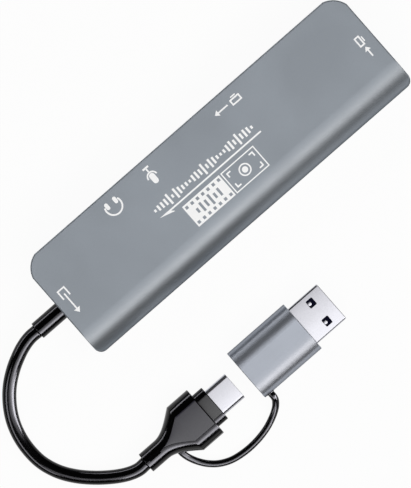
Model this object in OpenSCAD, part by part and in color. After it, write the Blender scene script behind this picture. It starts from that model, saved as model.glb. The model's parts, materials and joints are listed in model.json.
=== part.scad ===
// Video capture box: a flat two-shell box with a rounded spine, a short cable with a
// reversible data plug, and a tethered adapter that slides onto that plug.
// The x axis runs along the box to its video input end, y points to the port side and z points up.

/* [Box] */
// Length of the box, from the cable end to the video input end
box_l = 110; // [100:0.5:130]
// Width of the box, from the spine to the port side
box_w = 31.6; // [30:0.1:40]
// Height of the box
box_h = 12.5; // [12:0.1:15]
// Thickness of the shell walls
wall = 1.4; // [1:0.1:1.8]
// How far the rounding of the spine reaches in from its edge
spine_reach = 8; // [7:0.1:9]
// Radius of the nose of the spine
spine_nose_r = 4.4; // [3.5:0.1:5]
// Length cut off each side at a port-side corner
port_corner_cut = 4.5; // [3:0.1:6]
// Radius of the arc that closes a port-side corner
port_corner_r = 6.7; // [6:0.1:9]
// Length cut off each side at a spine-side corner
spine_corner_cut = 1.7; // [1:0.1:2.4]
// Radius of the arc that closes a spine-side corner
spine_corner_r = 2.6; // [2.4:0.1:4]
// Rounding of the long edges of the port side
port_edge_r = 0.5; // [0.2:0.1:1]

/* [Board] */
// Thickness of the main board
board_t = 1.2; // [0.8:0.1:1.6]
// Height of the standoffs under the main board
standoff_h = 0.9; // [0.6:0.1:1.2]
// Clearance between the board and the walls
board_gap = 0.3; // [0.2:0.1:0.6]
// Width of the strip along the spine that the board leaves free
board_spine_free = 6.4; // [6:0.1:8]

/* [Screws] */
// Radius of the screw shank
screw_r = 0.95; // [0.8:0.05:1.1]
// Radius of the countersunk screw head
screw_head_r = 1.9; // [1.6:0.1:2.2]
// Distance of the screws from the ends of the box
screw_end_in = 17; // [15.5:0.5:18]
// Distance of the port-side screws from the port side
screw_port_in = 5.2; // [4.5:0.1:6]
// Distance of the spine-side screws from the spine
screw_spine_in = 10.4; // [10:0.1:12]
// Depth of thread in the upper shell
screw_grip = 5; // [3:0.5:6]

/* [Ports] */
// Outside width of a video socket
video_w = 15; // [14.6:0.1:15.6]
// Outside height of a video socket
video_h = 5.6; // [5.3:0.1:6]
// Depth of a video socket
video_l = 11.5; // [10:0.5:13]
// Place of the video output along the box
video_out_x = 13.6; // [10:0.1:20]
// Place of the microphone jack along the box
mic_x = -13.5; // [-16:0.1:-11]
// Place of the headphone jack along the box
headphone_x = -26.4; // [-29:0.1:-24]
// Width of an audio jack
jack_w = 6; // [5.6:0.1:7]
// Height of an audio jack
jack_h = 5.6; // [5.2:0.1:6]
// Depth of an audio jack, nose included
jack_l = 14.6; // [14.4:0.1:16]
// Radius of the bore of an audio jack
jack_bore_r = 1.8; // [1.76:0.01:1.9]
// Radius of the nose of an audio jack
jack_nose_r = 2.5; // [2.3:0.1:2.7]
// How far the ports lie behind the outside of the box
port_recess = 0.15; // [0.05:0.05:0.4]
// Clearance around a port in its window
port_gap = 0.2; // [0.1:0.05:0.4]

/* [Cable] */
// Diameter of the cable
cable_d = 3.8; // [3:0.1:4.5]
// Diameter of the strain relief
relief_d = 5; // [4.8:0.1:6]
// Length of the strain relief outside the box
relief_l = 8.3; // [6:0.1:12]
// Diameter of the tether
tether_d = 1.9; // [1.2:0.1:2]

/* [Plug] */
// Width of the plug's grip
plug_w = 15; // [13.5:0.1:16]
// Height of the plug's grip
plug_h = 8.2; // [7.5:0.1:9]
// Length of the straight part of the grip
plug_block_l = 7.1; // [6:0.1:9]
// Length of the flare behind the grip
plug_flare_l = 8.4; // [7:0.1:10]
// Length of the round neck
plug_neck_l = 5.4; // [4.6:0.1:7]
// Diameter of the round neck
plug_neck_d = 6; // [5.4:0.1:6.6]
// Width of the collar in front of the grip
collar_w = 10.8; // [10:0.1:11.2]
// Height of the collar
collar_h = 4.6; // [4.4:0.1:4.8]
// Length of the collar
collar_l = 3.3; // [3:0.1:4]
// Outside width of the plug shell
c_plug_w = 8.25; // [8.2:0.01:8.34]
// Outside height of the plug shell
c_plug_h = 2.4; // [2.35:0.01:2.46]
// Length of the plug shell in front of the collar
c_plug_l = 7; // [6.6:0.1:7.4]

/* [Adapter] */
// Length of the adapter's sleeve
adapter_l = 19.9; // [19:0.1:24]
// How far the adapter's sleeve reaches past each side of the flat plug
sleeve_side = 1.7; // [1.6:0.05:2.5]
// How far the adapter's sleeve reaches past the top and the bottom of the flat plug
sleeve_over = 1.85; // [1.8:0.05:2.5]
// Wall of the adapter's sleeve
adapter_wall = 0.7; // [0.5:0.05:0.75]
// Distance between the plug's grip and the adapter's mouth as they lie
adapter_apart = 14.25; // [13:0.05:18]
// Outside width of the flat plug shell
a_plug_w = 12; // [11.9:0.05:12.1]
// Outside height of the flat plug shell
a_plug_h = 4.5; // [4.4:0.05:4.6]
// Length of the flat plug shell outside the sleeve
a_plug_l = 10.1; // [9:0.1:12]

/* [Hidden] */
$fn = 96;

// Colours
shell_grey = [0.56, 0.58, 0.62];
steel = [0.80, 0.80, 0.83];
gold = [0.85, 0.68, 0.30];
black = [0.09, 0.09, 0.10];
dark_grey = [0.25, 0.25, 0.27];
board_green = [0.10, 0.32, 0.20];
chip_grey = [0.16, 0.16, 0.17];
ceramic = [0.70, 0.60, 0.45];
pad_blue = [0.45, 0.60, 0.75];
insert_blue = [0.08, 0.16, 0.45];
nylon = [0.88, 0.87, 0.82];

// Small clearances and overlaps
fit = 0.05;
past = 1;
stick = 0.4;

// Heights inside the box
seam_z = box_h / 2;
ceiling_z = box_h - wall;
board_z = wall + standoff_h;
board_top = board_z + board_t;

// Board outline
relief_flange_t = 2;
relief_back_gap = 1;
board_x0 = -box_l / 2 + wall + fit + relief_flange_t + relief_back_gap;
board_y0 = -box_w / 2 + board_spine_free;

// Case screws
boss_wall = 1.3;
boss_r = screw_r + boss_wall;
boss_grip_r = screw_r + fit;
shank_gap = 0.2;
shank_hole_r = screw_r + shank_gap;
screw_tip_gap = 0.3;
screw_cross = [2.2, 0.5, 0.6];
head_sink = 0.1;
screw_x = box_l / 2 - screw_end_in;
screw_places = [
    for (side = [-1, 1]) each [
        [side * screw_x, box_w / 2 - screw_port_in],
        [side * screw_x, -box_w / 2 + screw_spine_in]
    ]
];

// Video sockets: sheet, bevelled lower corners, tongue and contacts
video_sheet = 0.4;
video_bevel_x = 1.9;
video_bevel_z = 2.2;
video_base_l = 3.6;
tongue_w = 10.8;
tongue_t = 1.4;
tongue_back = 1.6;
tongue_drop = 2.46;
tongue_z = video_h - tongue_drop;
contact_t = 0.1;
contact_w = 0.32;
contact_pitch = 1;
contact_short = 0.5;
lower_contacts = 10;
upper_contacts = 9;
video_out_y = box_w / 2 - port_recess;
video_in_x = box_l / 2 - port_recess;

// Audio jacks
jack_wall_gap = 0.1;
jack_nose_l = wall + jack_wall_gap - port_recess;
jack_back_wall = 0.6;
jack_tab = [0.3, 1.2];
jack_tab_count = 3;
jack_tab_in = 4;
jack_tab_pitch = 3.5;

// Cable end inside the box
header_size = [4, 9, 2.6];
header_in = 2.6;
header_x = board_x0 + header_in;
wire_count = 6;
wire_r = 0.45;
wire_pitch = 1.15;
wire_rise = 1.6;
wire_z = board_top + wire_rise;
relief_lip = 1.1;
relief_flange_r = relief_d / 2 + relief_lip;

// Chips and small parts: width, depth and height, and places from the board's spine-side edge
capture_size = [11, 11, 1.2];
capture_at = [-2, board_y0 + 6.2];
loop_size = [8, 8, 1];
loop_gap = 6;
loop_at = [video_in_x - video_l - loop_gap - loop_size[0] / 2, 2];
audio_size = [5, 5, 0.9];
audio_at = [-20, board_y0 + 5.4];
memory_size = [5, 4, 1.5];
memory_at = [11.5, board_y0 + 4.9];
lead_count = 4;
lead_size = [0.4, 1, 0.2];
lead_pitch = 1.27;
crystal_size = [3.2, 2.5, 0.8];
crystal_places = [[-12.5, board_y0 + 4.9], [22, board_y0 + 4.9]];
inductor_size = [4, 4, 2];
inductor_gap = 2.75;
inductor_x = -screw_x + boss_r + inductor_gap + inductor_size[0] / 2;
inductor_places = [[inductor_x, board_y0 + 2.3], [inductor_x, board_y0 + 6.8]];
regulator_size = [6.5, 3.5, 1.6];
regulator_gap = 1.2;
regulator_at = [header_x + header_size[0] + regulator_gap + regulator_size[0] / 2, 2.5];
capacitor_size = [1.6, 0.8, 0.8];
capacitor_gap = 0.9;
capacitor_rows = 3;
capacitor_pitch = 2.6;
pad_t = 1.5;
pad_margin = 0.6;

// Route of the cable: x from the relief's end, y from the middle of the box, z from the floor
cable_points = [
    [0, 0, 6.25], [-2.6, 0, 6.25], [-5.4, -0.6, 6.1], [-8.2, -1.7, 5.7], [-11.6, -3.5, 4.9],
    [-15.2, -6.2, 3.9], [-18.3, -9.7, 3], [-20.6, -13.6, 2.3], [-22, -17.9, 2], [-22.5, -22.4, 1.95],
    [-22.1, -27, 1.95], [-20.4, -31.6, 1.95], [-17.7, -35.6, 2.05], [-14.2, -39.2, 2.45],
    [-10.4, -42.2, 3.1], [-7, -44.2, 3.7], [-4, -45.2, 4.1], [-1.4, -45.2, 4.1]
];
relief_end_x = -box_l / 2 - relief_l;
cable_route = [for (p = cable_points) [relief_end_x + p[0], p[1], p[2]]];
cable_end = cable_route[len(cable_route) - 1];

// The plug stands on the cable's end; its x axis starts at the front of the grip
plug_l = plug_neck_l + plug_flare_l + plug_block_l;
plug_x = cable_end[0] + plug_l;
plug_y = cable_end[1];
adapter_w = a_plug_w + 2 * sleeve_side;
adapter_h = a_plug_h + 2 * sleeve_over;
plug_z = max(plug_h, adapter_h) / 2;
grip_reach = 3.4;
grip_arc_steps = 4;
flare_steps = 8;
flare_ease = 1.6;
neck_slot = [3.7, 1.1, 0.7];
neck_slot_in = 1.2;
collar_step = [0.7, 0.3];
collar_tail = [5, collar_w - 2 * collar_step[0], collar_h - 2 * collar_step[1]];
collar_reach = 2.2;
collar_nose_r = 1.5;
c_sheet = 0.25;
c_tail = 1.6;
c_pocket = c_tail + fit;
c_slot = [6, 6.9, 0.86];
c_insert_short = 0.3;
c_contact_count = 12;
c_contact_pitch = 0.5;
c_contact = [3, 0.25, 0.1];
plug_board_size = [2.8, 6.4, 0.8];

// Tether route: x and y from the front of the plug's grip, z from the floor
tether_points = [
    [-11.9, -2.9, 3.3], [-11.9, -4.4, 3.1], [-11.4, -6.4, 2.4], [-10.3, -8.7, 1.6], [-8.6, -11, 1.15],
    [-6.2, -13, 1], [-3, -14.4, 1], [1, -15, 1], [5, -14.9, 1], [8.8, -14.2, 1.05],
    [12, -13, 1.4], [14.4, -11.6, 2.2], [15.8, -10.1, 3.3], [16.15, -8.9, 4.1], [16.15, -7.95, 4.1]
];
tether_route = [for (p = tether_points) [plug_x + p[0], plug_y + p[1], p[2]]];

// Adapter: its x axis starts at its mouth
adapter_x = plug_x + adapter_apart;
seat_gap = 0.3;
adapter_reach = 5.4;
adapter_nose_gap = 0.5;
adapter_nose_r = adapter_h / 2 - adapter_nose_gap;
core_in = 0.3;
core_out = 0.15;
collar_gap = 0.25;
collar_end_gap = 0.35;
collar_room = collar_l - seat_gap + collar_end_gap;
socket_x = collar_room;
socket_gap = 0.08;
socket_sheet = 0.3;
socket_w = c_plug_w + 2 * (socket_gap + socket_sheet);
socket_h = c_plug_h + 2 * (socket_gap + socket_sheet);
plug_tip_x = collar_l + c_plug_l - seat_gap;
plug_end_gap = 0.35;
socket_base_x = plug_tip_x + plug_end_gap;
socket_base_l = 0.9;
socket_l = socket_base_x + socket_base_l - socket_x;
socket_tongue_in = 1.2;
socket_tongue_x = socket_x + socket_tongue_in;
socket_tongue_w = 6.69;
socket_tongue_t = 0.7;
socket_contact_in = 0.6;
socket_contact_t = 0.05;
a_tail = 4;
a_sheet = 0.32;
a_corner_r = 0.6;
a_window = [2.1, 2.3];
a_window_out = 5.75;
a_window_x = adapter_l + a_window_out;
a_window_y = 3.2;
a_tongue_t = 1.8;
a_tongue_short = 1;
a_tongue_gap = 0.15;
a_contact = [6.5, 1, 0.15];
a_contact_count = 4;
a_contact_pitch = 2.4;
a_contact_short = 0.8;
bridge_t = 0.8;
bridge_w = 9;
anchor_x = 1.9;
anchor_r = 1.15;
anchor_proud = 0.2;
anchor_in = 0.7;

// Takes the corner at the origin off a shape in the first quadrant, with an arc of radius r
module corner_off(cut, r, inset) {
    k = (cut + sqrt(2 * r * r - cut * cut)) / 2;
    difference() {
        translate([-past, -past]) square(k + past);
        translate([k, k]) circle(r - inset);
    }
}

// Rounded end of a section of height h: two shallow arcs that run into a nose, to the left of x0
module nose_end(x0, reach, nose_r, h, inset) {
    arc_r = (pow(reach - nose_r, 2) + h * h / 4 - nose_r * nose_r) / (h - 2 * nose_r);
    nose_x = x0 - reach + nose_r;
    join_x = nose_x - (nose_r - inset) * (x0 - nose_x) / (arc_r - nose_r);
    intersection() {
        translate([x0, h - arc_r]) circle(arc_r - inset);
        translate([x0, arc_r]) circle(arc_r - inset);
        translate([join_x, 0]) square([x0 + stick - join_x, h]);
    }
    translate([nose_x, h / 2]) circle(nose_r - inset);
}

// Section with a rounded end on both sides, centred on the origin
module oval(w, h, reach, nose_r, inset) {
    translate([0, -h / 2]) {
        translate([-w / 2 + reach, inset]) square([w - 2 * reach, h - 2 * inset]);
        for (side = [0, 1])
            mirror([side, 0]) nose_end(-w / 2 + reach, reach, nose_r, h, inset);
    }
}

// Section with half-round ends, centred on the origin
module stadium(w, h) {
    square([w - h, h], center = true);
    for (side = [-1, 1])
        translate([side * (w - h) / 2, 0]) circle(h / 2);
}

// Rectangle with round corners, centred on the origin
module round_rect(w, h, r) {
    square([w - 2 * r, h], center = true);
    square([w, h - 2 * r], center = true);
    for (sx = [-1, 1], sy = [-1, 1])
        translate([sx * (w / 2 - r), sy * (h / 2 - r)]) circle(r);
}

// Stands a section up and runs it along x from x0
module along_x(x0, l) {
    translate([x0, 0, 0]) rotate([90, 0, 90]) linear_extrude(l) children();
}

// Block that is centred in y and stands on z0
module block(x0, size, z0) {
    translate([x0, -size[1] / 2, z0]) cube(size);
}

// Block on the main board, centred at a place
module on_board(at, size) {
    translate([at[0] - size[0] / 2, at[1] - size[1] / 2, board_top]) cube(size);
}

// Place of item i in a row of n that is centred on zero
function in_row(i, n, pitch) = (i - (n - 1) / 2) * pitch;

function unit(v) = v / norm(v);

// Direction of a route at one of its points
function heading(route, i) =
    unit(route[min(i + 1, len(route) - 1)] - route[max(i - 1, 0)]);

// Round cord swept along a route
module cord(route, d) {
    sides = 8;
    rings = len(route);
    points = [
        for (i = [0 : rings - 1])
            let (t = heading(route, i), s = unit(cross(t, [0, 0, 1])), u = cross(s, t))
                for (k = [0 : sides - 1])
                    let (a = 360 * (k + 0.5) / sides)
                        route[i] + d / 2 * (cos(a) * s + sin(a) * u)
    ];
    walls = [
        for (i = [0 : rings - 2], k = [0 : sides - 1])
            let (a = i * sides + k, b = i * sides + (k + 1) % sides)
                each [[a, a + sides, b], [b, a + sides, b + sides]]
    ];
    ends = [
        [for (k = [0 : sides - 1]) k],
        [for (k = [0 : sides - 1]) rings * sides - 1 - k]
    ];
    polyhedron(points, concat(walls, ends));
}

// Outline of the box from above, drawn in by inset
module plan(inset) {
    difference() {
        square([box_l - 2 * inset, box_w - 2 * inset], center = true);
        for (end = [0, 1]) mirror([end, 0]) {
            translate([-box_l / 2, box_w / 2]) mirror([0, 1])
                corner_off(port_corner_cut, port_corner_r, inset);
            translate([-box_l / 2, -box_w / 2])
                corner_off(spine_corner_cut, spine_corner_r, inset);
        }
    }
}

// Section across the box, drawn in by inset
module section(inset) {
    flat_y = -box_w / 2 + spine_reach;
    edge = max(port_edge_r, inset);
    difference() {
        translate([flat_y, inset]) square([box_w - spine_reach - inset, box_h - 2 * inset]);
        if (port_edge_r > inset) {
            translate([box_w / 2, 0]) mirror([1, 0]) corner_off(edge, edge, inset);
            translate([box_w / 2, box_h]) mirror([1, 0]) mirror([0, 1]) corner_off(edge, edge, inset);
        }
    }
    nose_end(flat_y, spine_reach, spine_nose_r, box_h, inset);
}

// The whole box as one block, drawn in by inset
module box_block(inset) {
    intersection() {
        along_x(-box_l / 2, box_l) section(inset);
        linear_extrude(box_h) plan(inset);
    }
}

// Half of the box wall, above or below the seam
module half_wall(z0) {
    difference() {
        intersection() {
            box_block(0);
            block(-box_l / 2 - past, [box_l + 2 * past, box_w + 2 * past, seam_z], z0);
        }
        box_block(wall);
    }
}

// Outline of a video socket, grown by g, standing on the board
function video_outline(g) =
    let (
        w = video_w / 2,
        slant = norm([video_bevel_x, video_bevel_z]),
        dx = g * (slant - video_bevel_x) / video_bevel_z,
        dz = g * (slant - video_bevel_z) / video_bevel_x
    )
    [
        [w + g, video_h + g], [-w - g, video_h + g], [-w - g, video_bevel_z - dz],
        [-w + video_bevel_x - dx, -g], [w - video_bevel_x + dx, -g], [w + g, video_bevel_z - dz]
    ];

// Runs a section back from a port's mouth, which faces +y
module from_mouth(y0, l) {
    translate([0, y0, 0]) rotate([90, 0, 0]) linear_extrude(l) children();
}

module at_video_in() {
    translate([video_in_x, 0, board_top]) rotate([0, 0, -90]) children();
}

module at_video_out() {
    translate([video_out_x, video_out_y, board_top]) children();
}

module at_jack(x) {
    translate([x, video_out_y, board_top]) children();
}

// Openings in the walls for the ports and the strain relief
module video_window() {
    from_mouth(past, wall + 2 * past) polygon(video_outline(port_gap));
}

module jack_window() {
    translate([0, past, jack_h / 2]) rotate([90, 0, 0])
        cylinder(r = jack_nose_r + port_gap, h = wall + 2 * past);
}

module windows() {
    at_video_in() video_window();
    at_video_out() video_window();
    at_jack(mic_x) jack_window();
    at_jack(headphone_x) jack_window();
    translate([-box_l / 2 - past, 0, seam_z]) rotate([0, 90, 0])
        cylinder(r = relief_d / 2 + fit, h = wall + 2 * past);
}

module upper_shell() {
    pedestal = [capture_size[0] - 2 * pad_margin, capture_size[1] - 2 * pad_margin];
    pedestal_z = board_top + capture_size[2] + pad_t;
    color(shell_grey) difference() {
        union() {
            half_wall(seam_z);
            for (p = screw_places)
                translate([p[0], p[1], board_top]) cylinder(r = boss_r, h = ceiling_z + stick - board_top);
            translate([capture_at[0] - pedestal[0] / 2, capture_at[1] - pedestal[1] / 2, pedestal_z])
                cube([pedestal[0], pedestal[1], ceiling_z + stick - pedestal_z]);
        }
        for (p = screw_places)
            translate([p[0], p[1], board_top - past]) cylinder(r = boss_grip_r, h = screw_grip + past);
        windows();
    }
}

// Cone and shank of a countersunk screw, grown by g
module screw_shape(g, shank_r, top_z) {
    head_r = screw_head_r + g;
    translate([0, 0, head_sink - g]) cylinder(r1 = head_r, r2 = 0, h = head_r);
    translate([0, 0, head_sink]) cylinder(r = shank_r, h = top_z - head_sink);
}

module lower_shell() {
    color(shell_grey) difference() {
        union() {
            half_wall(0);
            for (p = screw_places)
                translate([p[0], p[1], wall - stick]) cylinder(r = boss_r, h = board_z - wall + stick);
        }
        for (p = screw_places) translate([p[0], p[1], 0]) {
            screw_shape(fit, shank_hole_r, board_z + past);
            translate([0, 0, -past]) cylinder(r = screw_head_r + fit, h = head_sink + past);
        }
        windows();
    }
}

module case_screws() {
    arm = [screw_cross[0], screw_cross[1], head_sink + screw_cross[2]];
    color(steel) for (p = screw_places) translate([p[0], p[1], 0]) difference() {
        screw_shape(0, screw_r, board_top + screw_grip - screw_tip_gap);
        for (turn = [0, 90])
            rotate([0, 0, turn]) block(-arm[0] / 2, arm, 0);
    }
}

module main_board() {
    color(board_green) translate([0, 0, board_z]) linear_extrude(board_t) difference() {
        intersection() {
            plan(wall + board_gap);
            translate([board_x0, board_y0]) square([box_l, box_w]);
        }
        for (p = screw_places)
            translate([p[0], p[1]]) circle(shank_hole_r);
    }
}

module capture_chip() {
    color(chip_grey) on_board(capture_at, capture_size);
}

module loop_out_chip() {
    color(chip_grey) on_board(loop_at, loop_size);
}

module audio_chip() {
    color(chip_grey) on_board(audio_at, audio_size);
}

module memory_chip() {
    color(chip_grey) {
        on_board(memory_at, memory_size);
        for (i = [0 : lead_count - 1], side = [-1, 1])
            on_board(
                memory_at + [in_row(i, lead_count, lead_pitch), side * (memory_size[1] + lead_size[1]) / 2],
                lead_size
            );
    }
}

module crystals() {
    color(steel) for (p = crystal_places) on_board(p, crystal_size);
}

module inductors() {
    color(dark_grey) for (p = inductor_places) on_board(p, inductor_size);
}

module regulator() {
    color(chip_grey) on_board(regulator_at, regulator_size);
}

module capacitors() {
    color(ceramic) for (chip = [[capture_at, capture_size], [loop_at, loop_size]])
        for (i = [0 : capacitor_rows - 1], side = [-1, 1])
            let (out = chip[1][0] / 2 + capacitor_gap + capacitor_size[0] / 2)
                on_board(
                    chip[0] + [side * out, in_row(i, capacitor_rows, capacitor_pitch)],
                    capacitor_size
                );
}

module thermal_pad() {
    size = [capture_size[0] - 2 * pad_margin, capture_size[1] - 2 * pad_margin, pad_t];
    color(pad_blue) translate([0, 0, capture_size[2]]) on_board(capture_at, size);
}

// Metal shell of a video socket
module video_shell() {
    color(steel) from_mouth(0, video_l) difference() {
        polygon(video_outline(0));
        polygon(video_outline(-video_sheet));
    }
}

// Insulator of a video socket: a base that fills the back of the shell, and a tongue
module video_tongue() {
    color(black) {
        from_mouth(video_base_l - video_l, video_base_l) polygon(video_outline(-video_sheet - fit));
        translate([-tongue_w / 2, video_base_l - video_l - stick, tongue_z - tongue_t / 2])
            cube([tongue_w, video_l - video_base_l - tongue_back + stick, tongue_t]);
    }
}

// Contacts above and below the tongue, in two staggered rows
module video_contacts() {
    l = video_l - video_base_l - tongue_back - contact_short;
    rows = [
        [lower_contacts, tongue_z - tongue_t / 2 - contact_t],
        [upper_contacts, tongue_z + tongue_t / 2]
    ];
    color(gold) for (row = rows, i = [0 : row[0] - 1])
        translate([in_row(i, row[0], contact_pitch) - contact_w / 2, video_base_l - video_l, row[1]])
            cube([contact_w, l, contact_t]);
}

module video_in_shell() {
    at_video_in() video_shell();
}

module video_in_tongue() {
    at_video_in() video_tongue();
}

module video_in_contacts() {
    at_video_in() video_contacts();
}

module video_out_shell() {
    at_video_out() video_shell();
}

module video_out_tongue() {
    at_video_out() video_tongue();
}

module video_out_contacts() {
    at_video_out() video_contacts();
}

// Audio jack: a block on the board with a round nose that passes through the wall
module jack_body() {
    color(black) difference() {
        union() {
            translate([-jack_w / 2, -jack_l, 0]) cube([jack_w, jack_l - jack_nose_l, jack_h]);
            translate([0, -jack_nose_l - stick, jack_h / 2]) rotate([-90, 0, 0])
                cylinder(r = jack_nose_r, h = jack_nose_l + stick);
        }
        translate([0, jack_back_wall - jack_l, jack_h / 2]) rotate([-90, 0, 0])
            cylinder(r = jack_bore_r, h = jack_l + past);
    }
}

// Spring tabs on both sides of a jack, down to the board
module jack_contacts() {
    color(gold) for (side = [-1, 1], i = [0 : jack_tab_count - 1])
        translate([
            side * (jack_w + jack_tab[0]) / 2 - jack_tab[0] / 2, -jack_tab_in - i * jack_tab_pitch, 0
        ])
            cube([jack_tab[0], jack_tab[1], jack_h / 2]);
}

module mic_jack_body() {
    at_jack(mic_x) jack_body();
}

module mic_jack_contacts() {
    at_jack(mic_x) jack_contacts();
}

module headphone_jack_body() {
    at_jack(headphone_x) jack_body();
}

module headphone_jack_contacts() {
    at_jack(headphone_x) jack_contacts();
}

module wire_header() {
    color(nylon) block(header_x, header_size, board_top);
}

module cable_wires() {
    x0 = -box_l / 2 + wall + fit + relief_flange_t;
    color(gold) for (i = [0 : wire_count - 1])
        translate([x0, in_row(i, wire_count, wire_pitch), wire_z]) rotate([0, 90, 0])
            cylinder(r = wire_r, h = header_x - x0);
}

// Strain relief: a sleeve that passes through the wall and a flange behind it
module cable_relief() {
    color(black) translate([0, 0, seam_z]) rotate([0, 90, 0]) {
        translate([0, 0, relief_end_x]) cylinder(r = relief_d / 2, h = relief_l + wall + fit + stick);
        translate([0, 0, -box_l / 2 + wall + fit]) cylinder(r = relief_flange_r, h = relief_flange_t);
    }
}

module data_cable() {
    color(black) cord(cable_route, cable_d);
}

// Places what is drawn about the plug's or the adapter's axis
module at_plug() {
    translate([plug_x, plug_y, plug_z]) children();
}

module at_adapter() {
    translate([adapter_x, plug_y, plug_z]) children();
}

// One ring of the grip: a section with elliptic ends, at x
function grip_ring(x, half_w, half_h, reach) = [
    for (side = [1, -1], i = [-grip_arc_steps : grip_arc_steps])
        let (a = side * i * 90 / grip_arc_steps)
            [x, side * (half_w - reach + reach * cos(a)), half_h * sin(a)]
];

// The grip's share of its full width along the flare
function flare(t) = t * t * (flare_ease + (1 - flare_ease) * t);

// Soft grip: a round neck that flares into a wide flat block
module grip_block() {
    neck_r = plug_neck_d / 2;
    rings = concat(
        [grip_ring(-plug_l, neck_r, neck_r, neck_r)],
        [
            for (i = [0 : flare_steps])
                let (t = i / flare_steps, f = flare(t))
                    grip_ring(
                        -plug_block_l - plug_flare_l * (1 - t),
                        neck_r + (plug_w / 2 - neck_r) * f,
                        neck_r + (plug_h / 2 - neck_r) * f,
                        neck_r + (grip_reach - neck_r) * t
                    )
        ],
        [grip_ring(0, plug_w / 2, plug_h / 2, grip_reach)]
    );
    n = len(rings[0]);
    walls = [
        for (i = [0 : len(rings) - 2], k = [0 : n - 1])
            let (a = i * n + k, b = i * n + (k + 1) % n)
                each [[a, a + n, b], [b, a + n, b + n]]
    ];
    ends = [[for (k = [0 : n - 1]) k], [for (k = [0 : n - 1]) len(rings) * n - 1 - k]];
    polyhedron([for (ring = rings) each ring], concat(walls, ends));
}

module plug_grip() {
    color(black) at_plug() difference() {
        grip_block();
        block(
            -collar_tail[0] - fit,
            [collar_tail[0] + fit + past, collar_tail[1] + 2 * fit, collar_tail[2] + 2 * fit],
            -collar_tail[2] / 2 - fit
        );
        block(neck_slot_in - plug_l, neck_slot, plug_neck_d / 2 - neck_slot[2] / 2);
    }
}

// Hard inner moulding: the collar in front of the grip and its tail inside it
module plug_collar() {
    tail = [collar_tail[0] + stick, collar_tail[1], collar_tail[2]];
    room_l = plug_board_size[0] + fit;
    room = [room_l + past, plug_board_size[1] + 2 * fit, plug_board_size[2] + 2 * fit];
    color(dark_grey) at_plug() difference() {
        union() {
            along_x(0, collar_l) oval(collar_w, collar_h, collar_reach, collar_nose_r, 0);
            block(-collar_tail[0], tail, -tail[2] / 2);
        }
        along_x(-c_pocket, c_pocket + collar_l + past) stadium(c_plug_w + 2 * fit, c_plug_h + 2 * fit);
        block(-c_pocket - room_l, room, -room[2] / 2);
    }
}

module plug_shell() {
    color(steel) at_plug() along_x(-c_tail, c_tail + collar_l + c_plug_l) difference() {
        stadium(c_plug_w, c_plug_h);
        stadium(c_plug_w - 2 * c_sheet, c_plug_h - 2 * c_sheet);
    }
}

// Insulator in the plug shell, with the slot that takes the socket's tongue
module plug_insert() {
    tip_x = collar_l + c_plug_l;
    inner = 2 * (c_sheet + fit);
    color(black) at_plug() difference() {
        along_x(-c_tail, c_tail + tip_x - c_insert_short) stadium(c_plug_w - inner, c_plug_h - inner);
        block(tip_x - c_slot[0], [c_slot[0] + past, c_slot[1], c_slot[2]], -c_slot[2] / 2);
        for (z = [-c_slot[2] / 2 - c_contact[2], c_slot[2] / 2 - past])
            block(
                tip_x - c_slot[0],
                [c_contact[0] + fit, c_contact_count * c_contact_pitch, c_contact[2] + past],
                z
            );
    }
}

// Contacts in two rows, above and below the slot
module plug_contacts() {
    color(gold) at_plug()
        for (i = [0 : c_contact_count - 1], z = [-c_slot[2] / 2 - c_contact[2], c_slot[2] / 2])
            translate([0, in_row(i, c_contact_count, c_contact_pitch), 0])
                block(collar_l + c_plug_l - c_slot[0], c_contact, z);
}

module plug_board() {
    color(board_green) at_plug()
        block(-c_pocket - plug_board_size[0], plug_board_size, -plug_board_size[2] / 2);
}

module tether() {
    color(black) cord(tether_route, tether_d);
}

// Round hole in the side of the adapter, at the tether's end, from y0 outwards
module anchor_rod(r, y_in, y_out) {
    translate([anchor_x, -y_in, 0]) rotate([90, 0, 0]) cylinder(r = r, h = y_out - y_in);
}

module tether_anchor() {
    side = adapter_w / 2;
    color(black) at_adapter()
        anchor_rod(anchor_r, side - adapter_wall - anchor_in, side + anchor_proud);
}

module adapter_sleeve() {
    color(shell_grey) at_adapter() difference() {
        along_x(0, adapter_l) difference() {
            oval(adapter_w, adapter_h, adapter_reach, adapter_nose_r, 0);
            oval(adapter_w, adapter_h, adapter_reach, adapter_nose_r, adapter_wall);
        }
        anchor_rod(anchor_r + fit, adapter_w / 2 - adapter_wall - past, adapter_w / 2 + past);
    }
}

// Core that fills the sleeve and holds the socket, the board and the flat plug
module adapter_core() {
    flat_x = adapter_l - a_tail;
    bridge_x = socket_x + socket_l;
    bridge_room = [flat_x - bridge_x + 2 * past, bridge_w + 2 * fit, bridge_t + 2 * fit];
    color(dark_grey) at_adapter() difference() {
        along_x(core_in, adapter_l - core_in - core_out)
            oval(adapter_w, adapter_h, adapter_reach, adapter_nose_r, adapter_wall + fit);
        along_x(-past, collar_room + past)
            oval(
                collar_w + 2 * collar_gap, collar_h + 2 * collar_gap,
                collar_reach + collar_gap, collar_nose_r + collar_gap, 0
            );
        along_x(0, bridge_x) stadium(socket_w + 2 * fit, socket_h + 2 * fit);
        block(bridge_x - past, bridge_room, -bridge_room[2] / 2);
        along_x(flat_x - fit, a_tail + past)
            round_rect(a_plug_w + 2 * fit, a_plug_h + 2 * fit, a_corner_r + fit);
        anchor_rod(
            anchor_r + fit, adapter_w / 2 - adapter_wall - anchor_in - fit, adapter_w / 2
        );
    }
}

module adapter_board() {
    x0 = socket_x + socket_l;
    color(board_green) at_adapter()
        block(x0, [adapter_l - a_tail - x0, bridge_w, bridge_t], -bridge_t / 2);
}

module socket_shell() {
    color(steel) at_adapter() along_x(socket_x, socket_l) difference() {
        stadium(socket_w, socket_h);
        stadium(socket_w - 2 * socket_sheet, socket_h - 2 * socket_sheet);
    }
}

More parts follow.
